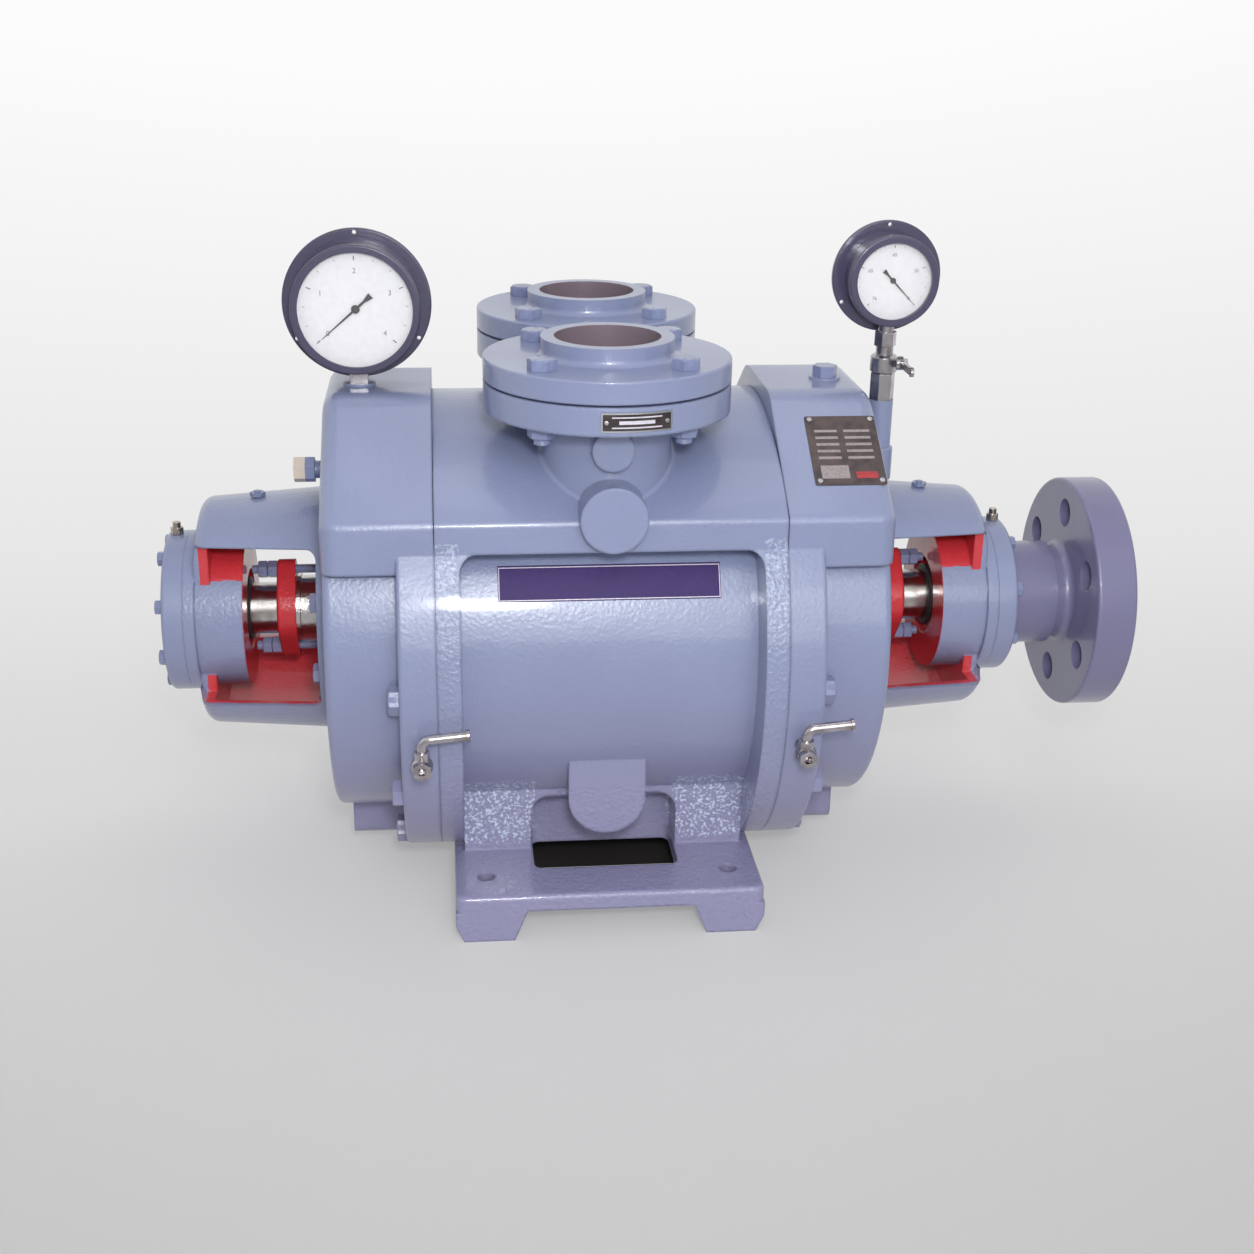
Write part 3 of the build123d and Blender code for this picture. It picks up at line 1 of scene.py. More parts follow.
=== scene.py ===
"""Looks of a liquid ring vacuum pump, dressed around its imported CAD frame.

Sizes are in millimetres in the classes and become metres when a mesh is made.
+Z is up, +X runs along the shaft to the coupling, and the gauges face -Y.
"""

import json
import logging
from dataclasses import dataclass, field
from enum import Enum

import bmesh
import bpy
import numpy as np
from mathutils import Matrix, Vector

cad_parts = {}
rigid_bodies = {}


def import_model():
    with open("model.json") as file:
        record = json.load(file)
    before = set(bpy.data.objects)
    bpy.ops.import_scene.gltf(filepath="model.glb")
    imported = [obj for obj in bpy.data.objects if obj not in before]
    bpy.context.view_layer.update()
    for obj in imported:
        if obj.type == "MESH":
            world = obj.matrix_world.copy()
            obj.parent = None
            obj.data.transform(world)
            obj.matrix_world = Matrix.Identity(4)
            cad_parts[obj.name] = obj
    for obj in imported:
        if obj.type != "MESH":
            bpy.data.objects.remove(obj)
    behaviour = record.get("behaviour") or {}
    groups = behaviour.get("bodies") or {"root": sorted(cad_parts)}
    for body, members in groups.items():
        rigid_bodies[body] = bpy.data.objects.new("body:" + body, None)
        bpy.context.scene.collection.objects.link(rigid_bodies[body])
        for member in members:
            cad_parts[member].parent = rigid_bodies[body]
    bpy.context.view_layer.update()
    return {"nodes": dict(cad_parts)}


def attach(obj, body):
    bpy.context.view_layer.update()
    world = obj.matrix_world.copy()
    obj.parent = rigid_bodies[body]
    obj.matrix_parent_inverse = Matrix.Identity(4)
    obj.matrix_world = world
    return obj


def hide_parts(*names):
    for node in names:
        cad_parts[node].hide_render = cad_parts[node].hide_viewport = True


for leftover in list(bpy.data.objects):
    bpy.data.objects.remove(leftover)
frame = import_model()

LOG = logging.getLogger("pump")
MM = 0.001
SHAFT_Z = 335.0
CASING_Z = 319.0
TAU = 2 * np.pi
Colour = tuple[float, float, float]
Socket = bpy.types.NodeSocket
# Colour of the painted highlights: pale glint spots on the rough webs and strips
PAINTED_GLINT = (0.62, 0.7, 0.84)

# Scales of the skin's noise, per metre, and its relief in metres
WAVE_SCALE = 17.0
PEEL_SCALE = 210.0
GRAIN_SCALE = 190.0
TONE_SCALE = 6.0
GLINT_SCALE = 250.0
PAINT_RELIEF = 0.004
MARK_RELIEF = 0.001

# Where the paint, the rough skin and the painted glints change on the castings, in metres
RED_START = 0.3375
RED_END = 0.4985
SHELL_FOOT = 0.352
SHELL_FOOT_R = 0.1505
SHELL_SLOPE = 0.0741
TUBE_START = 0.4475
TUBE_R = 0.098
TUBE_SKIN = 0.0008
TUBE_TOP = 0.064
STRIP_START = 0.1785
HOLE_HALF = 0.088
PEDESTAL_TOP = 0.168
HOOD_START = 0.5
PORT_OFFSET = 0.15
BORE_SEEN = 0.0635

BUILT: dict[str, bpy.types.Material] = {}


def srgb(red: int, green: int, blue: int) -> Colour:
    """Turns a colour of 0 to 255 as seen on a screen into the linear one that shaders take.

    Args:
        red: Red part.
        green: Green part.
        blue: Blue part.

    Returns:
        The linear colour.
    """
    part = np.array([red, green, blue]) / 255
    linear = np.where(part <= 0.04045, part / 12.92, ((part + 0.055) / 1.055) ** 2.4)
    return tuple(float(x) for x in linear)


# Shader graphs


class Graph:
    """Adds nodes to one tree, joins them and sets their plain values."""

    def __init__(self, tree: bpy.types.NodeTree) -> None:
        """Keeps the tree that the nodes go into."""
        self.tree = tree

    def link(self, value: Socket, target: Socket) -> None:
        """Feeds a value into an input."""
        self.tree.links.new(value, target)

    def add(self, kind: str, values: dict | None = None, **settings: object) -> bpy.types.Node:
        """Adds one node.

        Args:
            kind: Blender's name of the node type.
            values: Input name or number to a plain value or to the socket that feeds it.
            settings: Properties of the node itself.

        Returns:
            The new node.
        """
        node = self.tree.nodes.new(kind)
        for name, value in settings.items():
            setattr(node, name, value)
        for name, value in (values or {}).items():
            if isinstance(value, Socket):
                self.link(value, node.inputs[name])
            else:
                node.inputs[name].default_value = value
        return node

    def math(self, operation: str, *terms: float | Socket) -> Socket:
        """Adds a Math node on its terms, in order, and returns its result."""
        return self.add("ShaderNodeMath", dict(enumerate(terms)), operation=operation).outputs[0]

    def length(self, first: Socket, second: Socket) -> Socket:
        """Returns the length of the vector that has these two parts."""
        squares = self.math("ADD", self.math("POWER", first, 2.0), self.math("POWER", second, 2.0))
        return self.math("SQRT", squares)

    def noise(self, vector: Socket, scale: float, detail: float) -> Socket:
        """Adds a noise texture and returns its value, about 0.5 on average."""
        values = {"Vector": vector, "Scale": scale, "Detail": detail}
        return self.add("ShaderNodeTexNoise", values).outputs[0]

    def step(self, value: Socket, low: float, high: float) -> Socket:
        """Returns 0 below low and 1 above high, with a smooth rise between them."""
        values = {"Value": value, "From Min": low, "From Max": high}
        return self.add("ShaderNodeMapRange", values, interpolation_type="SMOOTHSTEP").outputs[0]

    def mix(self, share: float | Socket, first: Colour | Socket, second: Colour | Socket) -> Socket:
        """Blends two colours.

        Args:
            share: Share of the second colour, 0 to 1.
            first: Colour at share 0.
            second: Colour at share 1.

        Returns:
            The blended colour.
        """
        node = self.add("ShaderNodeMix", {0: share}, data_type="RGBA")
        for index, colour in ((6, first), (7, second)):
            if isinstance(colour, Socket):
                self.link(colour, node.inputs[index])
            else:
                node.inputs[index].default_value = (*colour, 1.0)
        return node.outputs[2]

    def bump(self, height: Socket, strength: float, relief: float, rounding: float) -> Socket:
        """Bumps a surface whose corners look rounded.

        Args:
            height: Height of the bump, 0 to 1.
            strength: Strength of the bump.
            relief: Its full height in metres.
            rounding: Radius of the corners in metres.

        Returns:
            The normal.
        """
        rounded = self.add("ShaderNodeBevel", {"Radius": rounding}, samples=4).outputs[0]
        values = {"Height": height, "Strength": strength, "Distance": relief, "Normal": rounded}
        return self.add("ShaderNodeBump", values).outputs[0]


def new_group(
    name: str, inputs: dict[str, float | None], outputs: list[str]
) -> tuple[Graph, dict, bpy.types.Node]:
    """Starts a node group that several materials share.

    Args:
        name: The group's name.
        inputs: Input name to its default, or None for a vector.
        outputs: Names of the values it gives.

    Returns:
        Its graph, its input sockets by name, and its output node.
    """
    tree = bpy.data.node_groups.new(name, "ShaderNodeTree")
    for label, default in inputs.items():
        kind = "NodeSocketVector" if default is None else "NodeSocketFloat"
        socket = tree.interface.new_socket(name=label, in_out="INPUT", socket_type=kind)
        if default is not None:
            socket.default_value = default
    for label in outputs:
        tree.interface.new_socket(name=label, in_out="OUTPUT", socket_type="NodeSocketFloat")
    graph = Graph(tree)
    entry = graph.add("NodeGroupInput")
    exit_node = graph.add("NodeGroupOutput")
    return graph, {label: entry.outputs[label] for label in inputs}, exit_node


def build_skin_group() -> bpy.types.NodeTree:
    """Skin of a painted casting.

    Height is slow waves from the mould, plus the fine orange peel of the paint, plus the
    grain of rough cast iron. Tone drifts slowly and says where the paint lies thicker.

    Returns:
        The node group.
    """
    inputs = {"Vector": None, "Waves": 0.3, "Peel": 0.3, "Grain": 0.0}
    graph, sockets, out = new_group("casting_skin", inputs, ["Height", "Tone"])
    vector = sockets["Vector"]
    waves = graph.math("MULTIPLY", graph.noise(vector, WAVE_SCALE, 2.0), sockets["Waves"])
    peel = graph.math("MULTIPLY", graph.noise(vector, PEEL_SCALE, 1.0), sockets["Peel"])
    grain = graph.math("MULTIPLY", graph.noise(vector, GRAIN_SCALE, 2.0), sockets["Grain"])
    height = graph.math("ADD", graph.math("ADD", waves, peel), grain)
    tone = graph.step(graph.noise(vector, TONE_SCALE, 1.0), 0.2, 0.8)
    for name, value in (("Height", height), ("Tone", tone)):
        graph.link(value, out.inputs[name])
    return graph.tree


def build_red_zone_group() -> bpy.types.NodeTree:
    """Where the red paint inside the bearing brackets lies.

    The mask is 1 inside the shell's mid line, which narrows from the housing to the bearing.
    On the round outside of the bearing tube it is 1 on the top only. Noise makes its edge
    wander as brushed paint does.

    Returns:
        The node group.
    """
    graph, sockets, out = new_group("red_zone", {"Vector": None}, ["Mask"])
    parts = graph.add("ShaderNodeSeparateXYZ", {0: sockets["Vector"]}).outputs
    along = graph.math("ABSOLUTE", parts[0])
    height = graph.math("SUBTRACT", parts[2], SHAFT_Z * MM)
    radius = graph.length(height, parts[1])
    noise = graph.math("SUBTRACT", graph.noise(sockets["Vector"], 40.0, 3.0), 0.5)
    wander = graph.math("MULTIPLY", noise, 0.006)
    narrowing = graph.math("MULTIPLY", graph.math("SUBTRACT", along, SHELL_FOOT), SHELL_SLOPE)
    limit = graph.math("SUBTRACT", SHELL_FOOT_R, narrowing)
    inside = graph.math("LESS_THAN", graph.math("ADD", radius, wander), limit)
    start = graph.math("GREATER_THAN", along, RED_START)
    end = graph.math("LESS_THAN", along, RED_END)
    from_tube = graph.math("ABSOLUTE", graph.math("SUBTRACT", radius, TUBE_R))
    off_tube = graph.math("GREATER_THAN", from_tube, TUBE_SKIN)
    before_tube = graph.math("LESS_THAN", along, TUBE_START)
    on_top = graph.math("GREATER_THAN", graph.math("ADD", height, wander), TUBE_TOP)
    clear = graph.math("MAXIMUM", graph.math("MAXIMUM", off_tube, before_tube), on_top)
    mask = graph.math("MULTIPLY", graph.math("MULTIPLY", inside, start), graph.math("MULTIPLY", end, clear))
    graph.link(mask, out.inputs["Mask"])
    return graph.tree


def build_ends_group() -> bpy.types.NodeTree:
    """Tells the outer ends of a piece from its inner part, at a distance from the pump's middle.

    Returns:
        The node group: Outer is 1 beyond the limit along the shaft, and 0 before it.
    """
    graph, sockets, out = new_group("along_shaft", {"Vector": None, "Limit": 0.2}, ["Outer"])
    along = graph.math("ABSOLUTE", graph.add("ShaderNodeSeparateXYZ", {0: sockets["Vector"]}).outputs[0])
    graph.link(graph.math("GREATER_THAN", along, sockets["Limit"]), out.inputs["Outer"])
    return graph.tree


def build_rough_and_glint_zone_group() -> bpy.types.NodeTree:
    """Where the casing's skin was left rough, and where painted glints lie on it: its two end strips, and the
    pedestal below the barrel.

    Returns:
        The node group: Mask is 1 there and 0 on the smoother barrel and hood. PaintedGlint is 1 on
        noise spots of the rough webs and of the upper half of the strips, where painted highlights go.
    """
    graph, sockets, out = new_group("rough_and_glint_zone", {"Vector": None}, ["Mask", "PaintedGlint"])
    parts = graph.add("ShaderNodeSeparateXYZ", {0: sockets["Vector"]}).outputs
    along = graph.math("ABSOLUTE", parts[0])
    strips = graph.math("GREATER_THAN", along, STRIP_START)
    low = graph.math("LESS_THAN", parts[2], PEDESTAL_TOP)
    rough = graph.math("MAXIMUM", strips, low)
    below_hood = graph.math("LESS_THAN", parts[2], HOOD_START)
    graph.link(graph.math("MULTIPLY", rough, below_hood), out.inputs["Mask"])
    side = graph.math("GREATER_THAN", along, HOLE_HALF)
    band = graph.math("MULTIPLY", graph.step(parts[2], 0.066, 0.075), graph.step(parts[2], 0.172, 0.16))
    web = graph.math("MULTIPLY", graph.math("MULTIPLY", side, band), graph.math("SUBTRACT", 1.0, strips))
    upper = graph.math("MULTIPLY", strips, graph.step(parts[2], 0.36, 0.46))
    place = graph.math("MAXIMUM", graph.math("MULTIPLY", web, 0.75), graph.math("MULTIPLY", upper, 0.35))
    place = graph.math("MULTIPLY", place, below_hood)
    # Noise spots where the painted highlights go
    spots = graph.step(graph.noise(sockets["Vector"], GLINT_SCALE, 2.0), 0.48, 0.66)
    graph.link(graph.math("MULTIPLY", place, spots), out.inputs["PaintedGlint"])
    return graph.tree


def build_bore_zone_group() -> bpy.types.NodeTree:
    """Inside of the two port bores, where the paint ends.

    Returns:
        The node group: Mask is 1 on the bores.
    """
    graph, sockets, out = new_group("bore_zone", {"Vector": None, "Radius": 0.06}, ["Mask"])
    parts = graph.add("ShaderNodeSeparateXYZ", {0: sockets["Vector"]}).outputs
    off_axis = graph.math("SUBTRACT", graph.math("ABSOLUTE", parts[1]), PORT_OFFSET)
    radius = graph.length(parts[0], off_axis)
    inside = graph.math("LESS_THAN", radius, sockets["Radius"])
    high = graph.math("GREATER_THAN", parts[2], HOOD_START)
    graph.link(graph.math("MULTIPLY", inside, high), out.inputs["Mask"])
    return graph.tree


GROUPS = {
    "ends": build_ends_group(),
    "rough_and_glint_zone": build_rough_and_glint_zone_group(),
    "bore_zone": build_bore_zone_group(),
    "skin": build_skin_group(),
    "red_zone": build_red_zone_group(),
}


def use_group(graph: Graph, name: str, values: dict) -> bpy.types.Node:
    """Places a shared group in a material with its own values."""
    return graph.add("ShaderNodeGroup", values, node_tree=GROUPS[name])


def start_material(name: str) -> tuple[bpy.types.Material, Graph, bpy.types.Node, Socket]:
    """Starts a material.

    Args:
        name: Its name.

    Returns:
        The material, its graph, its Principled node, and Object coordinates.
    """
    material = bpy.data.materials.new(f"{name}_finish")
    material.use_nodes = True
    graph = Graph(material.node_tree)
    shader = material.node_tree.nodes["Principled BSDF"]
    coordinates = graph.add("ShaderNodeTexCoord").outputs["Object"]
    return material, graph, shader, coordinates


class Edge(Enum):
    """How far a finish rounds the look of its corners, in metres."""

    MACHINED = 0.0012
    CAST = 0.005


@dataclass(frozen=True)
class Enamel:
    """Gloss paint over a casting, rough or machined, with painted shade that turns it a little purple low
    down.
    """

    name: str
    colour: Colour
    thick: Colour
    waves: float = 0.5
    peel: float = 0.22
    grain: float = 0.0
    gloss: float = 0.29
    edge: Edge = Edge.CAST
    red_inside: Colour | None = None
    rough_and_glint_zone: bool = False
    bore: Colour | None = None
    # Colour of the painted shade low down, purpler than the paint
    low: Colour = srgb(136, 134, 166)

    def build(self) -> bpy.types.Material:
        """Makes the material: skin, a slow drift of tone, painted shade low down, painted glints, and its
        red, rough or bare zones.

        Returns:
            The material.
        """
        material, graph, shader, vector = start_material(self.name)
        grain = self.grain
        zone = use_group(graph, "rough_and_glint_zone", {"Vector": vector}).outputs if self.rough_and_glint_zone else None
        if zone is not None:
            grain = graph.math("MULTIPLY", zone["Mask"], grain)
        values = {"Vector": vector, "Waves": self.waves, "Peel": self.peel, "Grain": grain}
        skin = use_group(graph, "skin", values)
        colour = graph.mix(skin.outputs["Tone"], self.colour, self.thick)
        height = graph.add("ShaderNodeSeparateXYZ", {0: vector}).outputs[2]
        # Painted shade: blends to the low colour from 0.42 m down, and is fully that colour below 0.06 m
        colour = graph.mix(graph.step(height, 0.42, 0.06), colour, self.low)
        if zone is not None:
            # Painted highlight: pale glint spots mixed into the colour
            colour = graph.mix(zone["PaintedGlint"], colour, PAINTED_GLINT)
        if self.red_inside is not None:
            mask = use_group(graph, "red_zone", {"Vector": vector}).outputs["Mask"]
            colour = graph.mix(mask, colour, self.red_inside)
        if self.bore is not None:
            mask = use_group(graph, "bore_zone", {"Vector": vector, "Radius": BORE_SEEN}).outputs["Mask"]
            colour = graph.mix(mask, colour, self.bore)
        graph.link(colour, shader.inputs["Base Color"])
        rough = graph.math("MULTIPLY_ADD", skin.outputs["Tone"], 0.1, self.gloss)
        graph.link(rough, shader.inputs["Roughness"])
        normal = graph.bump(skin.outputs["Height"], 0.55, PAINT_RELIEF, self.edge.value)
        graph.link(normal, shader.inputs["Normal"])
        shader.inputs["Coat Weight"].default_value = 0.45
        shader.inputs["Coat Roughness"].default_value = 0.09
        return material


@dataclass(frozen=True)
class Metal:
    """Bare or plated metal with fine tool marks."""

    name: str
    colour: Colour
    tarnish: Colour
    gloss: float = 0.3
    metallic: float = 1.0
    marks: float = 900.0
    depth: float = 0.12

    def build(self) -> bpy.types.Material:
        """Makes the material: tarnish in slow patches, and a fine bump of tool marks.

        Returns:
            The material.
        """
        material, graph, shader, vector = start_material(self.name)
        patch = graph.step(graph.noise(vector, 60.0, 4.0), 0.35, 0.7)
        graph.link(graph.mix(patch, self.colour, self.tarnish), shader.inputs["Base Color"])
        rough = graph.math("MULTIPLY_ADD", patch, 0.1, self.gloss)
        graph.link(rough, shader.inputs["Roughness"])
        fine = graph.noise(vector, self.marks, 2.0)
        normal = graph.bump(fine, self.depth, MARK_RELIEF, Edge.MACHINED.value)
        graph.link(normal, shader.inputs["Normal"])
        shader.inputs["Metallic"].default_value = self.metallic
        return material


@dataclass(frozen=True)
class TwoTone:
    """Two finishes on one piece, parted at a distance from the pump's middle along the shaft."""

    name: str
    inner: Colour
    outer: Colour
    limit: float
    inner_metal: float = 0.0
    outer_metal: float = 0.0

    def build(self) -> bpy.types.Material:
        """Makes the material: the two colours, metallic only on a part that is bare metal.

        Returns:
            The material.
        """
        material, graph, shader, vector = start_material(self.name)
        outer = use_group(graph, "ends", {"Vector": vector, "Limit": self.limit}).outputs["Outer"]
        graph.link(graph.mix(outer, self.inner, self.outer), shader.inputs["Base Color"])
        metallic = graph.math("MULTIPLY_ADD", outer, self.outer_metal - self.inner_metal, self.inner_metal)
        graph.link(metallic, shader.inputs["Metallic"])
        skin = use_group(graph, "skin", {"Vector": vector, "Waves": 0.2, "Peel": 0.25, "Grain": 0.0})
        normal = graph.bump(skin.outputs["Height"], 0.4, PAINT_RELIEF, Edge.MACHINED.value)
        graph.link(normal, shader.inputs["Normal"])
        shader.inputs["Roughness"].default_value = 0.24
        return material


@dataclass(frozen=True)
class Plain:
    """Rubber, fibre, ink, print or plastic: one colour, slightly mottled."""

    name: str
    colour: Colour
    fleck: Colour
    gloss: float = 0.5
    scale: float = 300.0
    depth: float = 0.1
    shine: float = 0.5

    def build(self) -> bpy.types.Material:
        """Makes the material: a fine mottle of two near colours and a soft grain.

        Returns:
            The material.
        """
        material, graph, shader, vector = start_material(self.name)
        shader.inputs["Specular IOR Level"].default_value = self.shine
        mottle = graph.noise(vector, self.scale, 3.0)
        colour = graph.mix(graph.step(mottle, 0.4, 0.65), self.colour, self.fleck)
        graph.link(colour, shader.inputs["Base Color"])
        rough = graph.math("MULTIPLY_ADD", mottle, 0.12, self.gloss - 0.06)
        graph.link(rough, shader.inputs["Roughness"])
        values = {"Height": mottle, "Strength": self.depth, "Distance": MARK_RELIEF}
        bump = graph.add("ShaderNodeBump", values)
        graph.link(bump.outputs[0], shader.inputs["Normal"])
        return material


@dataclass(frozen=True)
class ClearGlass:
    """Thin gauge glass with a faint bloom."""

    name: str = "gauge_glass"

    def build(self) -> bpy.types.Material:
        """Makes the material: a faint see-through sheen whose bloom drifts a little.

        Returns:
            The material.
        """
        material, graph, shader, vector = start_material(self.name)
        bloom = graph.math("MULTIPLY_ADD", graph.noise(vector, 25.0, 3.0), 0.03, 0.02)
        graph.link(bloom, shader.inputs["Alpha"])
        shader.inputs["Base Color"].default_value = (0.9, 0.92, 0.94, 1.0)
        shader.inputs["Roughness"].default_value = 0.04
        return material


BLUE = srgb(130, 139, 170)
BLUE_THICK = srgb(124, 132, 163)
RED = srgb(196, 52, 60)
BARE_IRON = srgb(122, 108, 118)
MACHINED = Edge.MACHINED

FINISHES = [
    Enamel("casting_enamel", BLUE, BLUE_THICK),
    # Rough skin, with painted glints on the webs and the strips
    Enamel("foot_enamel", BLUE, BLUE_THICK, grain=0.9, rough_and_glint_zone=True, bore=BARE_IRON),
    Enamel("bracket_enamel", BLUE, BLUE_THICK, grain=0.3, red_inside=RED),
    Enamel("turned_enamel", BLUE, BLUE_THICK, waves=0.15, peel=0.12, edge=MACHINED, bore=BARE_IRON),
    # Painted shade: a darker, purpler copy of the blue enamel for the coupling half
    Enamel(
        "coupling_enamel",
        srgb(116, 114, 146),
        srgb(108, 106, 138),
        waves=0.1,
        peel=0.1,
        edge=MACHINED,
        low=srgb(112, 108, 140),
    ),
    Enamel("bolt_enamel", srgb(126, 136, 170), srgb(112, 120, 154), waves=0.1, peel=0.2, edge=MACHINED),
    TwoTone("gland_red", srgb(196, 194, 192), RED, 0.3865, inner_metal=1.0),
    TwoTone("nipple_enamel", srgb(118, 126, 158), srgb(176, 166, 156), 0.515, outer_metal=1.0),
    TwoTone("plug_cream", srgb(122, 132, 166), srgb(206, 192, 180), 0.366),
    Enamel("case_slate", srgb(66, 62, 90), srgb(58, 54, 80), 0.1, 0.08, gloss=0.3, edge=MACHINED),
    Metal("shaft_steel", srgb(196, 194, 192), srgb(168, 162, 158), gloss=0.16),
    Metal("ground_iron", srgb(150, 150, 152), srgb(126, 124, 124), gloss=0.4),
    Metal("cast_bronze", srgb(178, 146, 98), srgb(150, 116, 74), gloss=0.42, marks=350.0, depth=0.3),
    Metal("cock_nickel", srgb(190, 186, 190), srgb(160, 152, 154), gloss=0.15),
    Metal("zinc_screw", srgb(196, 198, 204), srgb(170, 172, 178), gloss=0.32),
    Metal("plate_bronze", srgb(84, 72, 70), srgb(62, 54, 56), gloss=0.3, metallic=0.3),
    Metal("tag_dark", srgb(52, 46, 48), srgb(70, 62, 62), gloss=0.36, metallic=0.4),
    # Painted shadow: near-black sheet under the pedestal's hole
    Plain("painted_shadow_dark", srgb(30, 25, 24), srgb(38, 32, 30), gloss=0.9, depth=0.02),
    Plain("rubber", srgb(34, 32, 34), srgb(46, 43, 44), gloss=0.55),
    Plain("packing_fibre", srgb(120, 112, 98), srgb(86, 80, 70), gloss=0.7, depth=0.6),
    Plain("gasket_sheet", srgb(104, 112, 140), srgb(94, 100, 128), gloss=0.5),
    Plain("dial_white", srgb(226, 225, 228), srgb(222, 221, 224), 0.6, 120.0, 0.02, shine=0.2),
    Plain("ink_black", srgb(26, 24, 28), srgb(36, 34, 38), gloss=0.5, depth=0.02),
    Plain("ink_grey", srgb(96, 92, 102), srgb(110, 106, 116), gloss=0.5, depth=0.02),
    Plain("label_purple", srgb(62, 48, 98), srgb(66, 51, 102), 0.5, 90.0, 0.03, shine=0.12),
    Plain("print_pale", srgb(204, 198, 210), srgb(190, 184, 198), gloss=0.4, depth=0.02),
    Plain("print_dim", srgb(150, 140, 140), srgb(134, 124, 126), gloss=0.4, depth=0.02),
    Plain("print_red", srgb(168, 52, 56), srgb(150, 44, 48), gloss=0.4, depth=0.02),
    ClearGlass(),
]


# Surfaces


@dataclass
class Place:
    """A local frame in the pump: where it sits and which way its own X and Z point."""

    origin: tuple[float, float, float]
    along: tuple[float, float, float] = (0, 0, 1)
    across: tuple[float, float, float] = (1, 0, 0)

    def move(self, points: np.ndarray) -> np.ndarray:
        """Carries local points into the pump's frame: each along its own axes, then from the origin.

        Args:
            points: Points in millimetres, in the local frame.

        Returns:
            The same points in the pump's frame.
        """
        z_axis = np.array(self.along, float) / np.linalg.norm(self.along)
        x_axis = np.array(self.across, float)
        x_axis = x_axis - z_axis * (x_axis @ z_axis)
        x_axis = x_axis / np.linalg.norm(x_axis)
        axes = np.stack([x_axis, np.cross(z_axis, x_axis), z_axis])
        return points @ axes + np.array(self.origin, float)


def turned(profile: np.ndarray, steps: int = 48, flats: float | None = None) -> np.ndarray:
    """Surface of turning about the local Z axis, cut by six flats where their distance is given.

    Args:
        profile: Rows of radius and height.
        steps: Points on each ring, a multiple of six where there are flats, so that corners are met.
        flats: Distance across the flats, or None for a round surface.

    Returns:
        Grid of points, one ring for each row of the profile.
    """
    angle = np.arange(steps) * TAU / steps
    radius, height = profile[:, 0, None], profile[:, 1, None]
    if flats is not None:
        within = np.mod(angle, TAU / 6) - TAU / 12
        radius = np.minimum(radius, flats / 2 / np.cos(within))
    return np.stack([radius * np.cos(angle), radius * np.sin(angle), height + 0 * angle], axis=-1)


@dataclass
class Shell:
    """Collects grids of points into one mesh."""

    points: list[np.ndarray] = field(default_factory=list)
    faces: list[np.ndarray] = field(default_factory=list)
    count: int = 0

    def grid(self, points: np.ndarray, wrap: bool = True) -> None:
        """Adds a grid: each point is joined to the next in its ring and to the next ring.

        Args:
            points: Grid of points in millimetres, in the pump's frame.
            wrap: True if each ring closes on itself.
        """
        rows, columns = points.shape[:2]
        index = np.arange(rows * columns).reshape(rows, columns) + self.count
        after = np.roll(index, -1, axis=1) if wrap else index[:, 1:]
        here = index if wrap else index[:, :-1]
        quads = np.stack([here[:-1], after[:-1], after[1:], here[1:]], axis=-1)
        self.points.append(points.reshape(-1, 3))
        self.faces.append(quads.reshape(-1, 4))
        self.count += rows * columns

    def build(self, name: str, body: str, finish: str, slot: str, smooth: float = 35.0) -> bpy.types.Object:
        """Makes the object, closes its seams and poles, and lets it ride on a body.

        Args:
            name: The piece's name.
            body: The CAD body that it moves with.
            finish: The finish's name.
            slot: The record's material slot; not used.
            smooth: Largest angle in degrees that is shaded smooth.

        Returns:
            The piece.
        """
        mesh = bpy.data.meshes.new(name)
        mesh.from_pydata(np.concatenate(self.points) * MM, [], np.concatenate(self.faces).tolist())
        work = bmesh.new()
        work.from_mesh(mesh)
        bmesh.ops.remove_doubles(work, verts=work.verts, dist=2e-6)
        bmesh.ops.dissolve_degenerate(work, edges=work.edges, dist=1e-7)
        bmesh.ops.recalc_face_normals(work, faces=work.faces)
        work.to_mesh(mesh)
        work.free()
        mesh.shade_smooth()
        mesh.set_sharp_from_angle(angle=np.radians(smooth))
        mesh.materials.append(BUILT[finish])
        piece = bpy.data.objects.new(name, mesh)
        bpy.context.scene.collection.objects.link(piece)
        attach(piece, body)
        return piece


# Sub-assemblies


def both(*names: str) -> tuple[str, ...]:
    """Names of the left and the right one of each pair of nodes."""
    return tuple(f"{name}_{side}" for name in names for side in ("left", "right"))


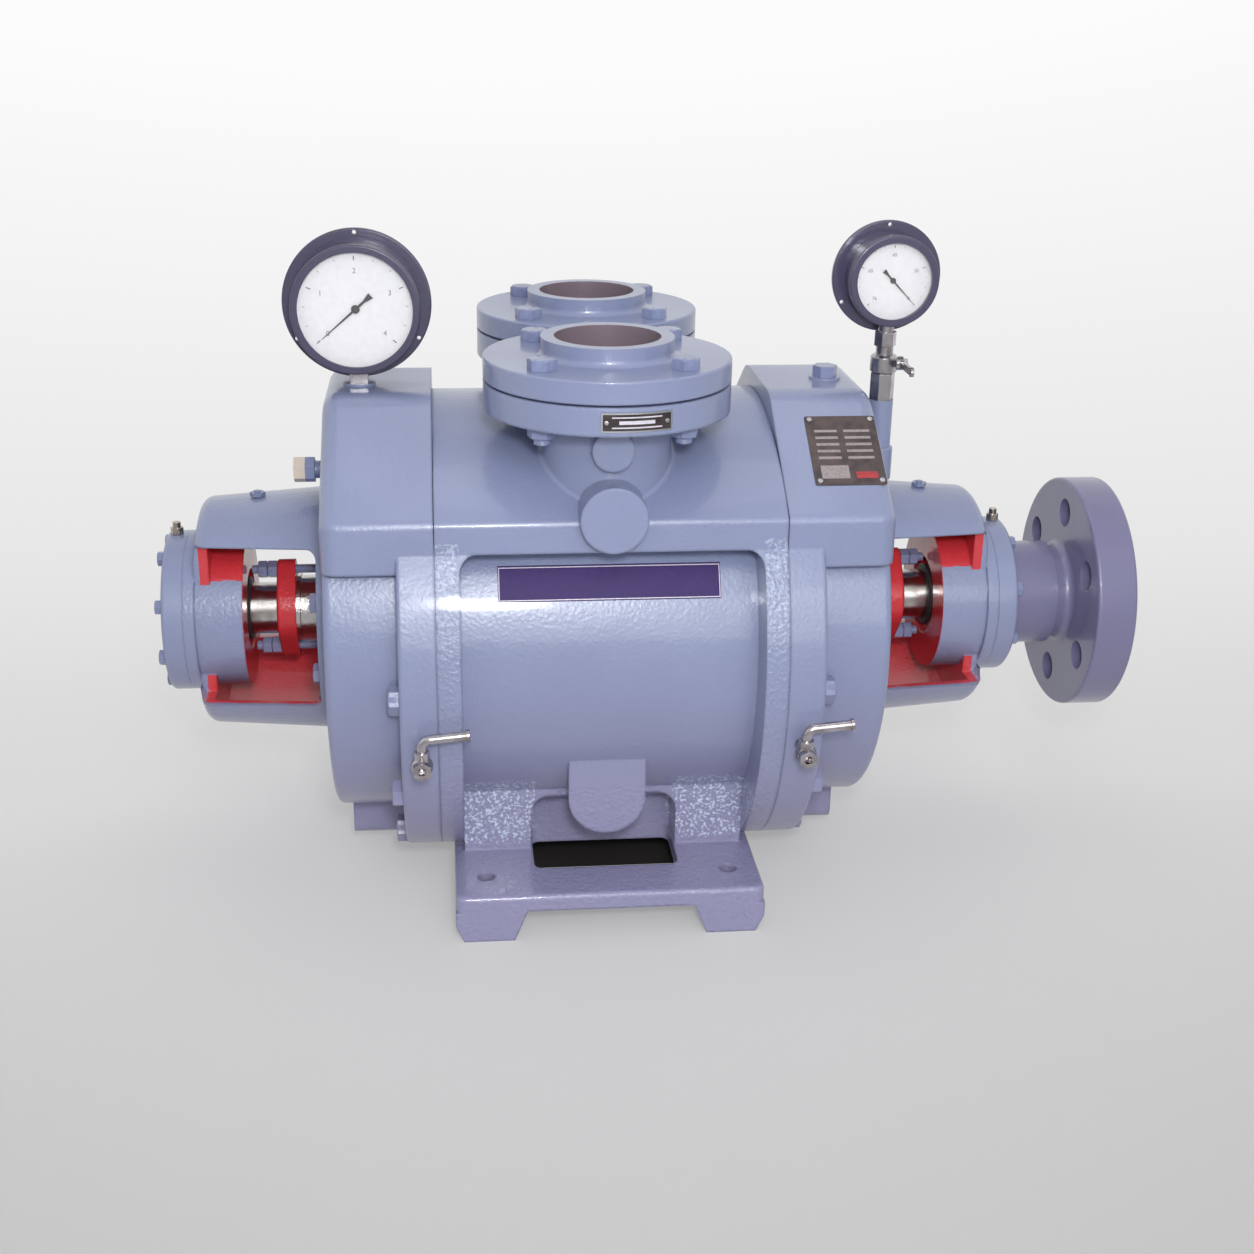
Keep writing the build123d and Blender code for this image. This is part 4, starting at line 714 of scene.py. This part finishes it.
@dataclass
class Dressing:
    """Gives each CAD node that stays its finish."""

    finishes: dict[str, tuple[str, ...]] = field(
        default_factory=lambda: {
            "casting_enamel": both("side_housing"),
            "foot_enamel": ("centre_casing",),
            "bracket_enamel": both("bearing_bracket"),
            "turned_enamel": (
                *both("bearing_cover"),
                "companion_flange_front",
                "companion_flange_rear",
                "riser_pipe",
            ),
            # Coupling half in the enamel with painted shade
            "coupling_enamel": ("coupling_half",),
            "bolt_enamel": ("passage_plug",),
            "nipple_enamel": ("grease_nipples",),
            "plug_cream": ("vent_plug",),
            "gland_red": both("gland"),
            "case_slate": both("gauge_case", "gauge_bezel"),
            "ground_iron": both("port_plate"),
            "cast_bronze": ("impeller", "lantern_rings"),
            "shaft_steel": (
                "shaft",
                "shaft_keys",
                "shaft_sleeves",
                "bearing_inner_rings",
                "bearing_outer_rings",
                "bearing_rollers",
                "bearing_lock_nuts",
            ),
            "gasket_sheet": ("joint_gaskets", "port_gaskets"),
            "rubber": ("thrower_rings",),
            "packing_fibre": ("packing_rings",),
            "cock_nickel": (
                *both("gauge_stem", "drain_cock_body", "drain_cock_handle"),
                "valve_body",
                "valve_lever",
                "riser_socket",
            ),
            "dial_white": both("gauge_dial"),
            "ink_black": both("gauge_pointer"),
            "gauge_glass": both("gauge_glass"),
            "label_purple": ("name_label",),
            "plate_bronze": ("rating_plate",),
            "tag_dark": ("casing_tag",),
            "zinc_screw": ("plate_screws",),
        }
    )

    def dress(self, node: str, finish: str) -> None:
        """Puts one finish on one node.

        Args:
            node: The node's name.
            finish: The finish's name.
        """
        slots = frame["nodes"][node].data.materials
        slots.clear()
        slots.append(BUILT[finish])

    def build(self) -> int:
        """Dresses every node in the list.

        Returns:
            How many nodes were dressed.
        """
        for finish, nodes in self.finishes.items():
            for node in nodes:
                self.dress(node, finish)
        return sum(len(nodes) for nodes in self.finishes.values())


@dataclass
class Fasteners:
    """Hexagon heads, nuts and stud ends that stand for the plain CAD ones."""

    thread_pitch: float = 2.5
    thread_depth: float = 0.55
    thread_chamfer: tuple[float, float] = (1.4, 1.0)
    head_drop: float = 0.55
    head_face: float = 0.96
    joint_head: tuple[float, float] = (30.0, 13.0)
    joint_kept: tuple[int, ...] = (6, 7, 8, 10, 11, 12)
    bracket_head: tuple[float, float] = (24.0, 10.0)
    cover_head: tuple[float, float] = (17.0, 8.0)
    port_head: tuple[float, float] = (30.0, 13.0)
    port_nut: tuple[float, float] = (30.0, 16.0)
    gland_nut: tuple[float, float] = (20.0, 12.0)
    gland_lock_nut: tuple[float, float] = (20.0, 11.4)
    gland_gap: float = 0.6
    gland_threads: tuple[tuple[float, ...], ...] = ((6.0, 0.0, 32.0), (6.0, -73.0, 0.0))
    port_thread: tuple[float, ...] = (10.0, 15.0, 24.0)
    joint_radius: float = 277.0
    joint_face: float = 251.0
    port_radius: float = 115.0
    port_spots: tuple[float, float] = (-150.0, 150.0)
    companion_top: float = 699.0
    neck_under: float = 637.0
    bracket_radius: float = 124.0
    bracket_face: float = 352.0
    cover_radius: float = 88.0
    cover_face: float = 547.0
    gland_radius: float = 53.0
    gland_face: float = 411.0

    def head(self, flats: float, height: float) -> np.ndarray:
        """Head or nut: flat faces with the corners turned off at its outer end.

        Args:
            flats: Distance across the flats.
            height: Height of the head.

        Returns:
            Grid of points about the local Z axis, from the seat outwards.
        """
        corner = flats / np.sqrt(3)
        drop = self.head_drop * (corner - flats / 2)
        face = flats / 2 * self.head_face
        rows = [[0.0, 0.0], [corner, 0.0], [corner, height - drop], [face, height], [0.0, height]]
        return turned(np.array(rows), flats=flats)

    def thread(self, radius: float, low: float, high: float) -> np.ndarray:
        """Stud end: rings that go in and out by the thread's depth, with a small end chamfer.

        Args:
            radius: Outer radius.
            low: Height where it starts.
            high: Height where it ends.

        Returns:
            Grid of points about the local Z axis.
        """
        turns = max(2, int((high - low) / self.thread_pitch))
        inset, length = self.thread_chamfer
        height = np.linspace(low, high - length, 2 * turns + 1)
        ring = radius - self.thread_depth * (np.arange(height.size) % 2)
        rows = np.stack([ring, height], axis=1)
        return turned(np.vstack([rows, [[radius - inset, high], [0.0, high]]]), 20)

    def ring_places(
        self, x: float, radius: float, count: int, start: float, z: float, only: tuple[int, ...] | None = None
    ) -> list[Place]:
        """Places on a circle square to the shaft, at both ends of the pump.

        Args:
            x: Distance of the faces from the middle.
            radius: Pitch radius.
            count: How many on the full circle.
            start: First angle in degrees, from +Y towards +Z.
            z: Height of the circle's centre.
            only: Which of them to keep, or None for all.

        Returns:
            The places, facing outwards.
        """
        chosen = range(count) if only is None else only
        angles = [np.radians(start + k * 360 / count) for k in chosen]
        spokes = [(np.cos(a), np.sin(a)) for a in angles]
        return [
            Place((side * x, radius * c, z + radius * s), (side, 0, 0), (0, c, s))
            for side in (-1, 1)
            for c, s in spokes
        ]

    def heads(self, places: list[Place], head: tuple[float, float]) -> Shell:
        """Starts a shell with one head at each place.

        Args:
            places: Where the heads sit.
            head: Distance across the flats, and height.

        Returns:
            The shell.
        """
        shell = Shell()
        for place in places:
            shell.grid(place.move(self.head(*head)))
        return shell

    def build(self) -> int:
        """Makes the five sets of fasteners.

        Returns:
            How many sets were made.
        """
        places = self.ring_places(self.joint_face, self.joint_radius, 12, 0, CASING_Z, self.joint_kept)
        joint = self.heads(places, self.joint_head)
        piece = joint.build("joint_bolt_heads", "stator", "bolt_enamel", "enamelled_steel")
        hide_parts("joint_bolts")

        places = self.ring_places(self.bracket_face, self.bracket_radius, 8, 22.5, SHAFT_Z)
        bracket = self.heads(places, self.bracket_head)
        piece = bracket.build("bracket_bolt_heads", "stator", "bolt_enamel", "enamelled_steel")
        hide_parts("bracket_bolts")

        places = self.ring_places(self.cover_face, self.cover_radius, 8, 22.5, SHAFT_Z)
        cover = self.heads(places, self.cover_head)
        piece = cover.build("cover_bolt_heads", "stator", "bolt_enamel", "enamelled_steel")
        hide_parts("cover_bolts")

        gland = Shell()
        for place in self.ring_places(self.gland_face, self.gland_radius, 2, 90, SHAFT_Z):
            gland.grid(place.move(self.head(*self.gland_nut)))
            lift = self.gland_nut[1] + self.gland_gap
            gland.grid(place.move(self.head(*self.gland_lock_nut) + np.array([0, 0, lift])))
            for thread in self.gland_threads:
                gland.grid(place.move(self.thread(*thread)))
        piece = gland.build("gland_nuts", "stator", "bolt_enamel", "enamelled_steel")
        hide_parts("gland_studs")

        port = Shell()
        for y in self.port_spots:
            for k in range(4):
                angle = np.radians(45 + 90 * k)
                spoke = (np.cos(angle), np.sin(angle), 0)
                x, spot = self.port_radius * spoke[0], y + self.port_radius * spoke[1]
                top = Place((x, spot, self.companion_top), (0, 0, 1), spoke)
                under = Place((x, spot, self.neck_under), (0, 0, -1), spoke)
                port.grid(top.move(self.head(*self.port_head)))
                port.grid(under.move(self.head(*self.port_nut)))
                port.grid(under.move(self.thread(*self.port_thread)))
        piece = port.build("port_bolts", "stator", "bolt_enamel", "enamelled_steel")
        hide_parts("port_flange_bolts")
        return 5


@dataclass
class Fillets:
    """Rolling-ball fillets that a casting has where its round forms meet."""

    hood_radius: float = 378.0
    hood_z: float = 235.0
    neck_radius: float = 77.5
    neck_ball: float = 6.0
    port_y: tuple[float, float] = (-150.0, 150.0)
    eye_radius: float = 24.5
    eye_z: float = 605.0
    eye_ball: float = 3.0

    def sweep(self, centre: np.ndarray, first: np.ndarray, second: np.ndarray, steps: int = 10) -> np.ndarray:
        """Surface that a ball leaves in a corner: the arc about its centre between its two contacts.

        Args:
            centre: Ball centres along the corner.
            first: Contacts with the first surface.
            second: Contacts with the second surface.
            steps: Points across the arc.

        Returns:
            Grid of points, one ring for each step across.
        """
        share = np.linspace(0, 1, steps)[:, None, None]
        a, b = first - centre, second - centre
        chord = a * (1 - share) + b * share
        reach = np.linalg.norm(a, axis=-1)[None, :, None]
        return centre + chord / np.linalg.norm(chord, axis=-1, keepdims=True) * reach

    def neck(self, y: float) -> np.ndarray:
        """Fillet between an upright neck and the hood's arc, round the whole neck.

        Args:
            y: The neck's place across the pump.

        Returns:
            Grid of points.
        """
        angle = np.arange(96) * TAU / 96
        x = (self.neck_radius + self.neck_ball) * np.cos(angle)
        across = y + (self.neck_radius + self.neck_ball) * np.sin(angle)
        up = np.sqrt((self.hood_radius + self.neck_ball) ** 2 - across**2)
        centre = np.stack([x, across, self.hood_z + up], axis=-1)
        ring = self.neck_radius * np.array([np.cos(angle), np.sin(angle)])
        on_neck = np.stack([ring[0], y + ring[1], centre[:, 2]], axis=-1)
        share = self.hood_radius / (self.hood_radius + self.neck_ball)
        on_hood = np.stack([x, across * share, self.hood_z + up * share], axis=-1)
        return self.sweep(centre, on_neck, on_hood)

    def eye(self) -> np.ndarray:
        """Fillet between the small round boss and the front neck that carries it.

        Returns:
            Grid of points.
        """
        angle = np.arange(48) * TAU / 48
        reach = self.eye_radius + self.eye_ball
        x, z = reach * np.cos(angle), self.eye_z + reach * np.sin(angle)
        y = self.port_y[0] - np.sqrt((self.neck_radius + self.eye_ball) ** 2 - x**2)
        centre = np.stack([x, y, z], axis=-1)
        ring = self.eye_radius * np.array([np.cos(angle), np.sin(angle)])
        on_eye = np.stack([ring[0], y, self.eye_z + ring[1]], axis=-1)
        share = self.neck_radius / (self.neck_radius + self.eye_ball)
        on_neck = np.stack([x * share, self.port_y[0] + (y - self.port_y[0]) * share, z], axis=-1)
        return self.sweep(centre, on_eye, on_neck)

    def build(self) -> int:
        """Makes the fillets as open strips that end on the solids they join.

        Returns:
            How many pieces were made.
        """
        shell = Shell()
        for y in self.port_y:
            shell.grid(self.neck(y))
        shell.grid(self.eye())
        shell.build("cast_fillets", "stator", "casting_enamel", "casting_enamel", 60)
        return 1


@dataclass
class GaugeFace:
    """Print on one dial: a scale of ticks with numbers."""

    side: str
    centre: tuple[float, float]
    face_y: float
    radius: float
    numbers: tuple[str, ...]
    minor: int
    start: float
    sweep: float
    lift: float = 0.15
    scale_out: float = 0.92
    scale_in: tuple[float, float] = (0.84, 0.88)
    tick_width: tuple[float, float] = (0.02, 0.01)
    number_at: float = 0.66
    number_size: float = 0.13

    def tick(self, angle: float, inner: float, outer: float, width: float) -> np.ndarray:
        """One tick: a thin bar along the dial's radius.

        Args:
            angle: Its angle from +X towards +Z, in radians.
            inner: Where it starts, as a share of the dial's radius.
            outer: Where it ends, as a share of the dial's radius.
            width: Its width.

        Returns:
            Grid of its four corners.
        """
        along = np.array([np.cos(angle), np.sin(angle)])
        side = np.array([-along[1], along[0]]) * width / 2
        inward, outward = along * inner * self.radius, along * outer * self.radius
        corners = np.array([[inward - side, inward + side], [outward - side, outward + side]])
        flat = corners + np.array(self.centre)
        return np.stack([flat[..., 0], np.full((2, 2), self.face_y - self.lift), flat[..., 1]], axis=-1)

    def number(self, text: str, angle: float) -> bpy.types.Object:
        """One upright number inside the scale, made a mesh before it is placed.

        Args:
            text: The number.
            angle: Its angle from +X towards +Z, in radians.

        Returns:
            The piece.
        """
        curve = bpy.data.curves.new(f"number_{self.side}_{text}", "FONT")
        curve.body = text
        curve.align_x, curve.align_y = "CENTER", "CENTER"
        curve.size = self.number_size * self.radius * MM
        words = bpy.data.objects.new(curve.name, curve)
        bpy.context.scene.collection.objects.link(words)
        bpy.context.view_layer.update()
        mesh = bpy.data.meshes.new_from_object(words)
        bpy.data.objects.remove(words)
        reach = self.number_at * self.radius
        x = self.centre[0] + reach * np.cos(angle)
        z = self.centre[1] + reach * np.sin(angle)
        turn = Matrix.Rotation(np.pi / 2, 4, "X")
        place = Matrix.Translation((x * MM, (self.face_y - self.lift) * MM, z * MM))
        mesh.transform(place @ turn)
        mesh.materials.clear()
        mesh.materials.append(BUILT["ink_grey"])
        return bpy.data.objects.new(f"dial_number_{self.side}_{self.numbers.index(text)}", mesh)

    def build(self) -> int:
        """Makes the ticks and the numbers.

        Returns:
            How many pieces were made.
        """
        shell = Shell()
        majors = len(self.numbers) - 1
        share = np.linspace(0, 1, majors * self.minor + 1)
        for k, part in enumerate(share):
            kind = 0 if k % self.minor == 0 else 1
            angle = np.radians(self.start + part * self.sweep)
            width = self.tick_width[kind] * self.radius
            shell.grid(self.tick(angle, self.scale_in[kind], self.scale_out, width), False)
        shell.build(f"dial_scale_{self.side}", "stator", "ink_grey", "dial_white")
        for k, text in enumerate(self.numbers):
            piece = self.number(text, np.radians(self.start + k / majors * self.sweep))
            bpy.context.scene.collection.objects.link(piece)
            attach(piece, "stator")
        return 1 + len(self.numbers)


@dataclass
class Plates:
    """Borders and generic fields on the name label, the rating plate and the tag; none carries words."""

    label_half: float = 133.0
    label_radius: float = 246.0
    label_low: float = 419.5
    label_high: float = 456.5
    border: float = 1.0
    inset: float = 0.8
    tag_centre: tuple[float, float] = (0.0, -150.0)
    tag_radius: float = 147.0
    tag_x: tuple[float, float] = (-20.2, 60.2)
    tag_z: tuple[float, float] = (642.5, 664.5)
    tag_border: float = 1.8
    tag_pin_inset: float = 6.0
    tag_lines: tuple[tuple[float, ...], ...] = ((20.0, 9.0, 13.0), (12.0, 16.0, 17.5), (12.0, 4.5, 6.0))
    tag_pin: tuple[tuple[float, float], ...] = ((0.0, 0.0), (2.6, 0.0), (2.4, 0.9), (0.0, 1.3))
    rating_x: float = 288.0
    slope_low: tuple[float, float] = (-246.0, 523.0)
    slope_high: tuple[float, float] = (-82.0, 635.0)
    rating_at: float = 0.52
    row_columns: tuple[tuple[float, float], ...] = ((-34.0, -6.0), (2.0, 34.0))
    row_first: float = -14.0
    row_step: float = 10.5
    row_height: float = 4.0
    low_field: tuple[float, ...] = (-34.0, 0.0, -44.0, -24.0)
    bar_field: tuple[float, ...] = (8.0, 34.0, -44.0, -34.0)
    lift: float = 0.12

    def border_strips(
        self, x0: float, x1: float, z0: float, z1: float, width: float
    ) -> list[tuple[float, ...]]:
        """Limits of the four strips of a border: below, above, left and right.

        Args:
            x0: Left side.
            x1: Right side.
            z0: Lower side.
            z1: Upper side.
            width: Width of the border.

        Returns:
            Left, right, lower and upper limit of each strip.
        """
        return [
            (x0, x1, z0, z0 + width),
            (x0, x1, z1 - width, z1),
            (x0, x0 + width, z0, z1),
            (x1 - width, x1, z0, z1),
        ]

    def on_label(self, x0: float, x1: float, z0: float, z1: float) -> np.ndarray:
        """A strip of the label's round face, just proud of it: y follows the circle of the barrel.

        Args:
            x0: Left side.
            x1: Right side.
            z0: Lower side.
            z1: Upper side.

        Returns:
            Grid of points.
        """
        x, z = np.meshgrid(np.linspace(x0, x1, 24), np.linspace(z0, z1, 8))
        y = -np.sqrt((self.label_radius + self.lift) ** 2 - (z - CASING_Z) ** 2)
        return np.stack([x, y, z], axis=-1)

    def on_tag(self, x0: float, x1: float, z0: float, z1: float) -> np.ndarray:
        """A strip of the tag's round face, just proud of it: y follows the circle of the flange.

        Args:
            x0: Left side.
            x1: Right side.
            z0: Lower side.
            z1: Upper side.

        Returns:
            Grid of points.
        """
        x, z = np.meshgrid(np.linspace(x0, x1, 16), np.array([z0, z1]))
        y = self.tag_centre[1] - np.sqrt((self.tag_radius + self.lift) ** 2 - x**2)
        return np.stack([x, y, z], axis=-1)

    def on_slope(self, u0: float, u1: float, v0: float, v1: float) -> np.ndarray:
        """A field on the rating plate, flat on the hood's slope, just proud of the plate.

        Args:
            u0: Left side, along the shaft from the plate's centre.
            u1: Right side.
            v0: Lower side, up the slope from the plate's centre.
            v1: Upper side.

        Returns:
            Grid of its four corners.
        """
        low, high = np.array(self.slope_low), np.array(self.slope_high)
        up = (high - low) / np.linalg.norm(high - low)
        out = np.array([-up[1], up[0]])
        centre = low + (high - low) * self.rating_at + out * (1.0 + self.lift)
        u, v = np.meshgrid([u0, u1], [v0, v1])
        return np.stack([self.rating_x + u, centre[0] + v * up[0], centre[1] + v * up[1]], axis=-1)

    def build(self) -> int:
        """Makes the border of the label, the fields of the rating plate and the print of the tag.

        Returns:
            How many pieces were made.
        """
        line = Shell()
        x0, x1 = -self.label_half + self.inset, self.label_half - self.inset
        z0, z1 = self.label_low + self.inset, self.label_high - self.inset
        for strip in self.border_strips(x0, x1, z0, z1, self.border):
            line.grid(self.on_label(*strip), False)
        line.build("label_border", "stator", "print_pale", "label_purple")

        fields = Shell()
        for row in range(5):
            v = self.row_first + self.row_step * row
            for u0, u1 in self.row_columns:
                fields.grid(self.on_slope(u0, u1, v, v + self.row_height), False)
        fields.grid(self.on_slope(*self.low_field), False)
        fields.build("rating_fields", "stator", "print_dim", "plate_etched")

        bar = Shell()
        bar.grid(self.on_slope(*self.bar_field), False)
        bar.build("rating_bar", "stator", "print_red", "plate_etched")

        (x0, x1), (z0, z1) = self.tag_x, self.tag_z
        rim = Shell()
        for strip in self.border_strips(x0, x1, z0, z1, self.tag_border):
            rim.grid(self.on_tag(*strip), False)
        rim.build("tag_rim", "stator", "zinc_screw", "plate_etched")

        stripes = Shell()
        for inset, low, high in self.tag_lines:
            stripes.grid(self.on_tag(x0 + inset, x1 - inset, z0 + low, z0 + high), False)
        stripes.build("tag_stripes", "stator", "print_pale", "plate_etched")

        pins = Shell()
        for x in (x0 + self.tag_pin_inset, x1 - self.tag_pin_inset):
            y = self.tag_centre[1] - np.sqrt(self.tag_radius**2 - x**2)
            place = Place((x, y, (z0 + z1) / 2), (x, y - self.tag_centre[1], 0), (0, 0, 1))
            pins.grid(place.move(turned(np.array(self.tag_pin), 20)))
        pins.build("tag_pins", "stator", "zinc_screw", "zinc_screw")
        return 6


@dataclass
class Studio:
    """Camera of the photograph, pale floor and backdrop, a dark sheet of painted shadow, and soft lights."""

    eye: tuple[float, float, float] = (-187.4935, -2079.7099, 1116.5493)
    yaw: float = 0.1039
    pitch: float = 0.3667
    roll: float = 0.0148
    focal_px: float = 1676.9243
    centre_px: tuple[float, float] = (615.2367, 615.0066)
    image_px: float = 1254.0
    film: float = 36.0
    floor_radius: float = 3.4
    rim: float = 1.4
    wall: float = 5.0
    paper: tuple[tuple[float, int], ...] = ((-1.0, 182), (0.1, 224), (5.0, 252))
    paper_shade: float = 0.02
    # Extent and height of the dark sheet of painted shadow
    shadow_sheet_x: tuple[float, float] = (-150.0, 150.0)
    shadow_sheet_y: tuple[float, float] = (-118.0, 210.0)
    shadow_sheet_z: float = 0.6

    def camera(self) -> None:
        """Makes the camera that was fitted to the photograph."""
        data = bpy.data.cameras.new("photo_camera")
        data.sensor_width = self.film
        data.lens = self.focal_px / self.image_px * self.film
        data.shift_x = (self.image_px / 2 - self.centre_px[0]) / self.image_px
        data.shift_y = -(self.image_px / 2 - self.centre_px[1]) / self.image_px
        data.clip_end = 60.0
        sin_yaw, cos_yaw = np.sin(self.yaw), np.cos(self.yaw)
        flat = np.cos(self.pitch)
        ahead = np.array([sin_yaw * flat, cos_yaw * flat, -np.sin(self.pitch)])
        level = np.array([cos_yaw, -sin_yaw, 0.0])
        upright = np.cross(level, ahead)
        right = np.cos(self.roll) * level + np.sin(self.roll) * upright
        up = -np.sin(self.roll) * level + np.cos(self.roll) * upright
        matrix = np.eye(4)
        matrix[:3, 0], matrix[:3, 1], matrix[:3, 2] = right, up, -ahead
        matrix[:3, 3] = np.array(self.eye) * MM
        camera = bpy.data.objects.new("photo_camera", data)
        bpy.context.scene.collection.objects.link(camera)
        camera.matrix_world = Matrix(matrix.tolist())
        bpy.context.scene.camera = camera

    def backdrop_material(self) -> bpy.types.Material:
        """Pale paper: greyer in front, paler behind and up the wall.

        Far from the pump the camera and clear reflections see the paper's own colour, and near
        it the lamps light it, so that it keeps the pump's shadow.

        Returns:
            The material.
        """
        material, graph, shader, vector = start_material("backdrop_paper")
        parts = graph.add("ShaderNodeSeparateXYZ", {0: vector}).outputs
        reach = graph.math("ADD", parts[1], graph.math("MULTIPLY", parts[2], 2.0))
        start, end = self.paper[0][0], self.paper[-1][0]
        along = graph.math("DIVIDE", graph.math("SUBTRACT", reach, start), end - start)
        ramp = graph.add("ShaderNodeValToRGB", {0: along})
        stops = ramp.color_ramp.elements
        stops.new(0.5)
        for stop, (depth, grey) in zip(stops, self.paper):
            stop.position = (depth - start) / (end - start)
            stop.color = (*srgb(grey, grey, grey), 1.0)
        colour = ramp.outputs[0]
        lit = graph.mix(self.paper_shade, colour, (0.0, 0.0, 0.0))
        graph.link(lit, shader.inputs["Base Color"])
        shader.inputs["Roughness"].default_value = 0.9
        shader.inputs["Specular IOR Level"].default_value = 0.1
        path = graph.add("ShaderNodeLightPath").outputs
        clear = graph.math("MAXIMUM", path["Is Glossy Ray"], path["Is Transmission Ray"])
        seen = graph.math("MAXIMUM", path["Is Camera Ray"], clear)
        far = graph.math("MULTIPLY_ADD", graph.step(reach, -0.2, 1.2), 0.6, 0.4)
        share = graph.math("MULTIPLY", seen, far)
        own = graph.add("ShaderNodeEmission", {"Color": colour, "Strength": 1.0})
        blend = graph.add("ShaderNodeMixShader", {0: share, 1: shader.outputs[0], 2: own.outputs[0]})
        surface = material.node_tree.nodes["Material Output"].inputs["Surface"]
        graph.link(blend.outputs[0], surface)
        return material

    def shadow_sheet(self) -> None:
        """Lays a dark sheet of painted shadow on the floor, which the photograph shows black through the hole
        of the pedestal.
        """
        x, y = np.meshgrid(self.shadow_sheet_x, self.shadow_sheet_y)
        mesh = bpy.data.meshes.new("painted_shadow_sheet")
        corners = np.stack([x.ravel(), y.ravel(), np.full(4, self.shadow_sheet_z)], axis=-1)
        mesh.from_pydata(corners * MM, [], [(0, 1, 3, 2)])
        mesh.materials.append(BUILT["painted_shadow_dark"])
        sheet = bpy.data.objects.new("painted_shadow_sheet", mesh)
        bpy.context.scene.collection.objects.link(sheet)

    def backdrop(self) -> None:
        """Makes the floor and the wall as one turned sheet: flat, a quarter circle, then upright."""
        turn = np.linspace(0, np.pi / 2, 16)
        start = self.floor_radius - self.rim
        curve_r = start + self.rim * np.sin(turn)
        curve_z = self.rim * (1 - np.cos(turn))
        radius = np.concatenate([[0.0, 1.0], curve_r, [self.floor_radius]]) / MM
        height = np.concatenate([[0.0, 0.0], curve_z, [self.wall]]) / MM
        shell = Shell()
        shell.grid(turned(np.stack([radius, height], axis=1), 96))
        mesh = bpy.data.meshes.new("studio_backdrop")
        mesh.from_pydata(shell.points[0] * MM, [], shell.faces[0].tolist())
        mesh.shade_smooth()
        mesh.materials.append(self.backdrop_material())
        sheet = bpy.data.objects.new("studio_backdrop", mesh)
        bpy.context.scene.collection.objects.link(sheet)

    def lamp(
        self, name: str, spot: tuple[float, float, float], size: float, power: float, tint: Colour
    ) -> None:
        """Adds one square soft light that faces the pump's middle.

        Args:
            name: The lamp's name.
            spot: Where it stands, in metres.
            size: Length of its side, in metres.
            power: Power in watts.
            tint: Its colour.
        """
        data = bpy.data.lights.new(name, "AREA")
        data.size, data.energy, data.color = size, power, tint
        lamp = bpy.data.objects.new(name, data)
        bpy.context.scene.collection.objects.link(lamp)
        lamp.location = spot
        aim = np.array([0.0, 0.0, 0.35]) - np.array(spot)
        lamp.rotation_euler = Vector(aim).to_track_quat("-Z", "Y").to_euler()

    def world(self) -> None:
        """Even pale light from all round."""
        world = bpy.data.worlds.new("studio_air")
        bpy.context.scene.world = world
        world.use_nodes = True
        background = world.node_tree.nodes["Background"]
        background.inputs["Color"].default_value = (1.0, 0.96, 1.0, 1.0)
        background.inputs["Strength"].default_value = 0.7

    def build(self) -> None:
        """Makes the whole studio and sets the plain view transform."""
        self.camera()
        self.backdrop()
        self.shadow_sheet()
        self.world()
        self.lamp("key_light", (0.1, -2.5, 2.4), 1.0, 16.0, (0.97, 1.0, 0.99))
        self.lamp("front_light", (0.5, -3.0, 0.9), 2.0, 30.0, (1.0, 1.0, 1.0))
        self.lamp("top_light", (0.2, 0.2, 2.8), 1.2, 5.0, (1.0, 1.0, 1.0))
        self.lamp("flash", (-0.1, -2.1, 1.35), 0.2, 22.0, (0.98, 1.0, 1.0))
        bpy.context.scene.view_settings.view_transform = "Standard"


def main() -> None:
    """Builds the finishes, the pieces and the studio in order, and reports each."""
    logging.basicConfig(level=logging.INFO, format="%(name)s: %(message)s")
    for finish in FINISHES:
        BUILT[finish.name] = finish.build()
    LOG.info("finishes: %d", len(FINISHES))
    LOG.info("CAD nodes dressed: %d", Dressing().build())
    LOG.info("fastener sets: %d", Fasteners().build())
    LOG.info("fillet pieces: %d", Fillets().build())
    left = GaugeFace(
        side="left",
        centre=(-295, 732),
        face_y=-41,
        radius=69,
        numbers=("0", "1", "2", "3", "4"),
        minor=3,
        start=221,
        sweep=-262,
    )
    right = GaugeFace(
        side="right",
        centre=(364, 764),
        face_y=-40,
        radius=47,
        numbers=("76", "60", "40", "20", "0"),
        minor=4,
        start=226,
        sweep=-272,
    )
    for face in (left, right):
        LOG.info("dial pieces, %s gauge: %d", face.side, face.build())
    LOG.info("plate pieces: %d", Plates().build())
    Studio().build()


if __name__ == "__main__":
    main()
